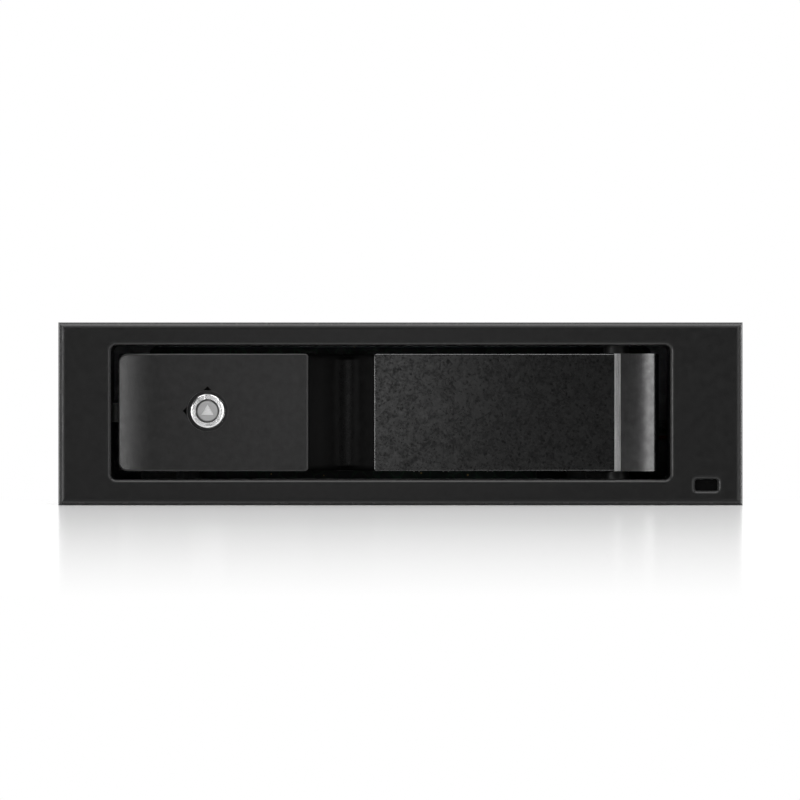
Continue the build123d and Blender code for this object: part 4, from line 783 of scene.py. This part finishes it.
def spring_tree():
    """A coil of round wire along X."""
    sizes = dict.fromkeys(("Turns", "Radius", "Length", "Wire"), "Float")
    tree = Tree("Coil spring", Start="Vector", **sizes)
    line = tree.plug(tree.add("GeometryNodeCurveSpiral"), Resolution=24)
    tree.hook(line, Rotations="Turns", Start_Radius="Radius", End_Radius="Radius", Height="Length")
    section = tree.plug(tree.add("GeometryNodeCurvePrimitiveCircle"), Resolution=10)
    tree.hook(section, Radius="Wire")
    curves = {"Curve": line.outputs["Curve"], "Profile_Curve": section.outputs["Curve"]}
    wire = tree.plug(tree.add("GeometryNodeCurveToMesh"), Fill_Caps=True, **curves)
    return tree.close(tree.placed(wire.outputs["Mesh"], (0.0, QUARTER, 0.0), "Start"))


def stays_inside(piece, node, slack=0.05 * MM):
    """Stop if a piece leaves the box of the CAD node that it stands for."""
    low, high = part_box(node)
    for corner in piece.data.vertices:
        for axis in range(3):
            if not low[axis] - slack <= corner.co[axis] <= high[axis] + slack:
                raise RuntimeError(f"{piece.name} leaves {node} at {tuple(corner.co)}")


def spots(node, radius, across, columns, rows):
    """Middles of the equal round heads in a node, from its box and how many stand along two axes."""
    low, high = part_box(node)
    steps = []
    for axis, count in zip(across, (columns, rows)):
        start, end = low[axis] + radius, high[axis] - radius
        steps.append([start + (end - start) * i / max(1, count - 1) for i in range(count)])
    return [(a, b) for a in steps[0] for b in steps[1]]


class DressMouldings(bpy.types.Operator):
    """Give the plastic mouldings their finishes"""

    bl_idname = "drive_cage.dress_mouldings"
    bl_label = "Dress mouldings"

    def execute(self, context):
        settings = context.scene.cage_finishes
        grain = settings.plastic_grain
        scoop = (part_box("lock_panel")[1].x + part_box("handle_plate")[0].x) / 2
        moulded("bezel_plastic", settings.bezel, grain, polish=0.16).on("bezel")
        door_plastic(settings, scoop + 1.1 * MM).on("door_body")
        panel_plastic(settings).on("lock_panel")
        rails = moulded("rail_plastic", settings.rail, 0.4 * MM, (0.42, 0.58), 0.07, 0.012)
        rails.on("left_drive_rail", "right_drive_rail", "catch_cover")
        moulded("bush_plastic", settings.bush, grain, (0.42, 0.54), 0.01).on("hinge_bushes")
        moulded("catch_plastic", settings.catch, grain, (0.28, 0.40), 0.09).on("catch_bolt")
        sockets = moulded("socket_plastic", settings.socket, 0.15 * MM, (0.36, 0.5), 0.04)
        sockets.on("drive_socket", "data_port", "power_port")
        smoked_lens(settings).on("light_pipe")
        rubber = moulded("pad_rubber", settings.rubber, 0.35 * MM, (0.62, 0.8), 0.03, 0.02, 0.35)
        rubber.on("drive_bumpers")
        return {"FINISHED"}


class DressMetal(bpy.types.Operator):
    """Give the sheet, springs, ejector, trim, handle and lock their finishes"""

    bl_idname = "drive_cage.dress_metal"
    bl_label = "Dress metal"

    def execute(self, context):
        settings = context.scene.cage_finishes
        low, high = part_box("lock_core")
        middle = middle_of("lock_core")
        handle_coat(settings).on("handle_plate")
        anodised(settings).on("barrel_cover")
        brushed("bright_trim", settings.trim, "Z").on("handle_trim")
        galvanised(settings).on("cage_pan", "top_cover")
        flat = brushed("spring_steel", settings.spring, "Y", (0.26, 0.40))
        flat.on("rail_springs", "lock_cam")
        # Painted shade: near black steel on the ejector, its crank and the hinge pin, which sit in the
        # dark gap under the handle.
        painted_shade_steel = plated("blackened_steel", settings.painted_shade_steel, (0.36, 0.52))
        painted_shade_steel.on("ejector_bar", "ejector_crank", "hinge_pin")
        plated("plated_steel", settings.screw).on("ejector_studs")
        plated("brass", settings.brass, (0.24, 0.42)).on("board_standoffs", "lock_nut")
        turned("lock_chrome", settings.lock, middle, (0.14, 0.24)).on("lock_barrel")
        lock_nickel(settings, middle, low.y, (high.x - low.x) / 2).on("lock_core")
        return {"FINISHED"}


class DressBoards(bpy.types.Operator):
    """Give the circuit boards and the flat lead their finishes"""

    bl_idname = "drive_cage.dress_boards"
    bl_label = "Dress boards"

    def execute(self, context):
        settings = context.scene.cage_finishes
        board_mask(settings).on("backplane_board", "light_board")
        ribbon_jacket(settings).on("status_ribbon")
        return {"FINISHED"}


class MakeScrews(bpy.types.Operator):
    """Replace the plain screws with threaded ones that have a cross recess"""

    bl_idname = "drive_cage.make_screws"
    bl_label = "Make screws"

    def panel_places(self):
        """Seats of the lock panel's screws: two at its left end and two at half its height."""
        radius, height = (size * MM for size in SMALL_SCREW[1:])
        low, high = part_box("panel_screws")
        seat, end_x, far_x = high.y - height, low.x + radius, high.x - radius
        low_z, high_z = low.z + radius, high.z - radius
        middle_z = (low_z + high_z) / 2
        corners = [v.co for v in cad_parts["panel_screws"].data.vertices]
        level_with = [co.x for co in corners if abs(co.z - middle_z) < radius + 0.1 * MM]
        near = [x for x in level_with if x < far_x - 2 * radius]
        near_x = (min(near) + max(near)) / 2
        places = [(end_x, seat, z) for z in (low_z, high_z)]
        return places + [(x, seat, middle_z) for x in (near_x, far_x)]

    def execute(self, context):
        details = context.scene.cage_details
        steel = plated("screw_steel", context.scene.cage_finishes.screw, (0.2, 0.34))
        tree = screw_tree()
        up, back, ahead = (Euler((turn, 0.0, 0.0)) for turn in (0.0, -QUARTER, QUARTER))
        head, rail_seat = LARGE_SCREW[1] * MM, 2.5 * MM
        board_seat, cover_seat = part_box("backplane_board")[0].y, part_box("cage_pan")[1].y
        rail = [(x, y, rail_seat) for x, y in spots("rail_screws", head, (0, 1), 2, 2)]
        board = [(x, board_seat, z) for x, z in spots("board_screws", head, (0, 2), 2, 2)]
        cover = [(x, cover_seat, z) for x, z in spots("cover_screws", head, (0, 2), 3, 1)]
        middle = middle_of("cam_screw")
        cam = [(middle.x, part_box("lock_cam")[1].y, middle.z)]
        rows = [
            ("rail_screw_set", "rail_screws", "cage", LARGE_SCREW, 2.5, rail, up),
            ("board_screw_set", "board_screws", "cage", LARGE_SCREW, 5.6, board, ahead),
            ("cover_screw_set", "cover_screws", "cage", LARGE_SCREW, 4.0, cover, back),
            ("panel_screw_set", "panel_screws", "door", SMALL_SCREW, 3.4, self.panel_places(), back),
            ("cam_screw_head", "cam_screw", "lock", CAM_SCREW, 4.0, cam, back),
        ]
        for name, node, body, size, reach, places, turn in rows:
            sizes = [s * MM for s in (*size, reach)]
            template = new_piece(name + "_one", screw_mesh(name + "_one", *sizes, details))
            piece = new_points(name, places)
            tree.run(piece, Screw=template, Turn=turn, Seed=details.seed, Finish=steel.material)
            bpy.data.objects.remove(template)
            stays_inside(piece, node)
            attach(piece, body)
            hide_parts(node)
        return {"FINISHED"}


class MakeCatchSpring(bpy.types.Operator):
    """Wind the catch's coil spring."""

    bl_idname = "drive_cage.make_catch_spring"
    bl_label = "Make catch spring"

    def execute(self, context):
        details = context.scene.cage_details
        steel = brushed("coil_steel", context.scene.cage_finishes.spring, "X", (0.26, 0.40))
        low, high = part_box("catch_spring")
        middle = middle_of("catch_spring")
        wire = details.spring_wire
        piece = new_points("catch_spring_coil")
        spring_tree().run(
            piece,
            Turns=float(details.spring_turns),
            Radius=(high.z - low.z - wire) / 2,
            Length=high.x - low.x - wire,
            Wire=wire / 2,
            Start=(low.x + wire / 2, middle.y, middle.z),
            Finish=steel.material,
        )
        piece.data.polygons.foreach_set("use_smooth", [True] * len(piece.data.polygons))
        stays_inside(piece, "catch_spring")
        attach(piece, "door")
        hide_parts("catch_spring")
        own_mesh(piece)
        return {"FINISHED"}


class MakeContacts(bpy.types.Operator):
    """Put gilt contacts in the drive socket and on the tongues of both rear ports"""

    bl_idname = "drive_cage.make_contacts"
    bl_label = "Make contacts"

    def execute(self, context):
        details = context.scene.cage_details
        gilt = plated("contact_gilt", context.scene.cage_finishes.contact, (0.2, 0.3), 0.2, 0.0008)
        tree = contact_tree()
        pitch, width = details.contact_pitch, details.contact_width
        leaf = new_piece("sprung_contact_one", leaf_mesh("sprung", SPRUNG_CONTACT, width))
        pad = new_piece("flat_contact_one", leaf_mesh("flat", FLAT_CONTACT, width))
        low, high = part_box("drive_socket")
        back, roof = high.y - 1.6 * MM, (low.z + high.z) / 2 + 1.2 * MM
        horn = 0.4 * (high.z - low.z) + 2.0 * MM
        data_x, power_x = low.x + horn + 5.9 * MM, (low.x + high.x + 13.0 * MM) / 2
        rows = [
            ("socket_data_contacts", leaf, details.data_contacts, (data_x, back, roof)),
            ("socket_power_contacts", leaf, details.power_contacts, (power_x, back, roof)),
        ]
        for node, count in (("data_port", details.data_contacts), ("power_port", details.power_contacts)):
            middle = middle_of(node)
            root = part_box(node)[0].y + 2.1 * MM
            rows.append((node + "_contacts", pad, count, (middle.x + 0.6 * MM, root, middle.z)))
        for name, contact, count, (x, y, z) in rows:
            piece = new_points(name)
            start, step = (x - (count - 1) * pitch / 2, y, z), (pitch, 0.0, 0.0)
            tree.run(piece, Contact=contact, Count=count, Start=start, Step=step, Finish=gilt.material)
            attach(piece, "cage")
        bpy.data.objects.remove(leaf)
        bpy.data.objects.remove(pad)
        return {"FINISHED"}


class MakeBoardParts(bpy.types.Operator):
    """Put small parts on the backplane's front face"""

    bl_idname = "drive_cage.make_board_parts"
    bl_label = "Make board parts"

    def execute(self, context):
        details = context.scene.cage_details
        coat = chip_body(context.scene.cage_finishes)
        tree = board_tree()
        one = new_piece("board_part_one", part_mesh("board_part_one", details.part_length))
        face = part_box("backplane_board")[0].y
        for name, (x, z), (wide, tall), (columns, rows), shift in BOARD_FIELDS:
            piece = new_points(name)
            tree.run(
                piece,
                Part=one,
                Width=wide * MM,
                Height=tall * MM,
                Columns=columns,
                Rows=rows,
                Middle=(x * MM, face, z * MM),
                Share=details.part_share,
                Seed=details.seed + shift,
                Finish=coat.material,
            )
            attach(piece, "cage")
        bpy.data.objects.remove(one)
        return {"FINISHED"}


class MakeLockMarks(bpy.types.Operator):
    """Print a plain arrow for each of the lock's two positions"""

    bl_idname = "drive_cage.make_lock_marks"
    bl_label = "Make lock marks"

    def execute(self, context):
        details = context.scene.cage_details
        middle = middle_of("lock_core")
        x, z = middle.x, middle.z
        near, half = details.mark_distance, details.mark_width / 2
        far = near + details.mark_height
        above = [(x, z + far), (x + half, z + near), (x - half, z + near)]
        beside = [(x - far, z), (x - near, z + half), (x - near, z - half)]
        face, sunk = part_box("lock_panel")[0].y, 0.01 * MM
        work = bmesh.new()
        for outline in (above, beside):
            prism(work, outline, face - details.mark_thickness, face + sunk)
        piece = new_piece("lock_marks", mesh_from("lock_marks", work))
        piece.data.materials.append(mark_ink(context.scene.cage_finishes).material)
        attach(piece, "door")
        return {"FINISHED"}


class SetStage(bpy.types.Operator):
    """Set the floor, the room, the lamps and the camera"""

    bl_idname = "drive_cage.set_stage"
    bl_label = "Set stage"

    def execute(self, context):
        stage = context.scene.cage_stage
        context.scene.view_settings.view_transform = "Standard"
        floor, cover = self.floor(stage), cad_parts["top_cover"]
        self.room(context, stage)
        front, scoop = Vector((0.0, -0.08, 0.02)), Vector((-0.014, -0.09, 0.02))
        lamps = (
            ("top_softbox", (0.0, -0.22, 0.85), front, (1.3, 0.6), stage.top_level, None),
            ("brow_softbox", (0.0, -0.72, 0.66), front, (1.1, 0.4), stage.brow_level, None),
            ("left_strip", (-0.69, -0.71, 0.10), front, (0.43, 0.2), stage.left_level, None),
            ("right_softbox", (0.70, -0.70, 0.26), front, (0.52, 0.5), stage.right_level, None),
            ("left_rim_strip", (-0.82, 0.22, 0.26), front, (0.30, 0.5), stage.left_rim, cover),
            ("right_rim_strip", (0.82, 0.18, 0.26), front, (0.34, 0.5), stage.right_rim, cover),
            ("near_box", (-0.014, -0.36, 0.03), scoop, (0.035, 0.11), stage.near_level, floor),
        )
        for row in lamps:
            self.lamp(*row)
        self.camera(context, stage)
        return {"FINISHED"}

    def floor(self, stage):
        """A pale sheet that shows shade and sheen near the cage and turns plain white further off."""
        work = bmesh.new()
        bmesh.ops.create_grid(work, x_segments=4, y_segments=4, size=6.0)
        floor = new_piece("floor", mesh_from("floor", work))
        floor.location.z = -0.02 * MM
        coat = Finish("floor_sheet")
        pale = coat.mix(coat.noise(0.2, 2.0), (0.74,) * 3, (0.78,) * 3)
        coat.look(pale, stage.floor_gloss)
        along = coat.axis("Y", coat.place)
        ahead = coat.span(along, 1.0, 0.0, FACE_Y - stage.floor_reach, FACE_Y)
        behind = coat.span(along, 0.0, 1.0, FACE_Y, FACE_Y + stage.floor_back)
        sideways, end = coat.calc("ABSOLUTE", coat.axis("X", coat.place)), CAD_BOX[1][0]
        beside = coat.span(sideways, 0.0, 1.0, end, end + stage.floor_side)
        far = coat.calc("MAXIMUM", coat.calc("MAXIMUM", ahead, behind), beside)
        seen = coat.add("ShaderNodeLightPath").outputs["Is Camera Ray"]
        blend = coat.plug(coat.add("ShaderNodeMixShader"), Fac=coat.times(seen, coat.times(far, far)))
        coat.feed(blend.inputs[1], coat.surface.outputs["BSDF"])
        coat.feed(blend.inputs[2], coat.add("ShaderNodeEmission").outputs["Emission"])
        coat.plug(coat.output, Surface=blend.outputs["Shader"])
        floor.data.materials.append(coat.material)
        return floor

    def room(self, context, stage):
        """White as the camera sees it, dim in front for polished faces and even for all else."""
        world = bpy.data.worlds.new("studio")
        context.scene.world = world
        world.use_nodes = True
        world.node_tree.nodes.clear()
        sky = Nodes(world.node_tree)
        rays = sky.add("ShaderNodeLightPath").outputs
        seen = rays["Is Camera Ray"]
        along = sky.axis("Y", sky.add("ShaderNodeTexCoord").outputs["Generated"])
        unseen = sky.calc("SUBTRACT", 1.0, seen)
        polished = sky.calc("MAXIMUM", rays["Is Glossy Ray"], rays["Is Transmission Ray"])
        polished = sky.times(polished, unseen)
        plain = sky.calc("SUBTRACT", unseen, polished)
        strength = sky.plus(seen, sky.times(polished, sky.span(along, stage.front_level, 1.0, -0.1, 0.6)))
        strength = sky.plus(strength, sky.times(plain, stage.room_level))
        light = sky.plug(sky.add("ShaderNodeBackground"), Strength=strength, Color=(1.0, 1.0, 1.0))
        sky.plug(sky.add("ShaderNodeOutputWorld"), Surface=light.outputs["Background"])

    def lamp(self, name, place, aim, size, radiance, spared):
        """A soft box, kept from lighting a piece that it would glare on where one is given."""
        light = bpy.data.lights.new(name, "AREA")
        light.shape = "RECTANGLE"
        light.size, light.size_y = size
        light.energy = radiance * math.pi * size[0] * size[1]
        lamp = bpy.data.objects.new(name, light)
        lamp.location = place
        lamp.rotation_euler = (aim - lamp.location).to_track_quat("-Z", "Y").to_euler()
        lamp.visible_camera = False
        bpy.context.scene.collection.objects.link(lamp)
        if spared is not None:
            unlit = bpy.data.collections.new("spared_by_" + name)
            unlit.objects.link(spared)
            unlit.collection_objects[0].light_linking.link_state = "EXCLUDE"
            lamp.light_linking.receiver_collection = unlit

    def camera(self, context, stage):
        data = bpy.data.cameras.new("camera")
        data.sensor_width = 36.0
        data.lens = stage.lens
        data.clip_start, data.clip_end = 0.01, 50.0
        distance = stage.frame_width * data.lens / data.sensor_width
        camera = bpy.data.objects.new("camera", data)
        camera.location = Vector((stage.aim_x, FACE_Y, stage.aim_z)) + FRONT * distance
        camera.rotation_euler = (QUARTER, 0.0, 0.0)
        context.scene.collection.objects.link(camera)
        context.scene.camera = camera


STEPS = (
    DressMouldings, DressMetal, DressBoards, MakeScrews, MakeCatchSpring,
    MakeContacts, MakeBoardParts, MakeLockMarks, SetStage,
)


class CagePanel(bpy.types.Panel):
    """Steps and settings of the drive cage"""

    bl_idname = "VIEW3D_PT_drive_cage"
    bl_label = "Drive cage"
    bl_space_type = "VIEW_3D"
    bl_region_type = "UI"
    bl_category = "Drive cage"

    def draw(self, context):
        for step in STEPS:
            self.layout.operator(step.bl_idname)
        for name in GROUPS:
            group = getattr(context.scene, name)
            box = self.layout.box()
            for key in group.__annotations__:
                box.prop(group, key)


GROUPS = {"cage_finishes": CageFinishes, "cage_details": CageDetails, "cage_stage": CageStage}
CLASSES = (*GROUPS.values(), *STEPS, CagePanel)


def register():
    for item in CLASSES:
        bpy.utils.register_class(item)
    for key, group in GROUPS.items():
        setattr(bpy.types.Scene, key, bpy.props.PointerProperty(type=group))


def unregister():
    for key in GROUPS:
        delattr(bpy.types.Scene, key)
    for item in reversed(CLASSES):
        bpy.utils.unregister_class(item)


def main():
    register()
    for step in STEPS:
        group, name = step.bl_idname.split(".")
        getattr(getattr(bpy.ops, group), name)()


if __name__ == "__main__":
    main()
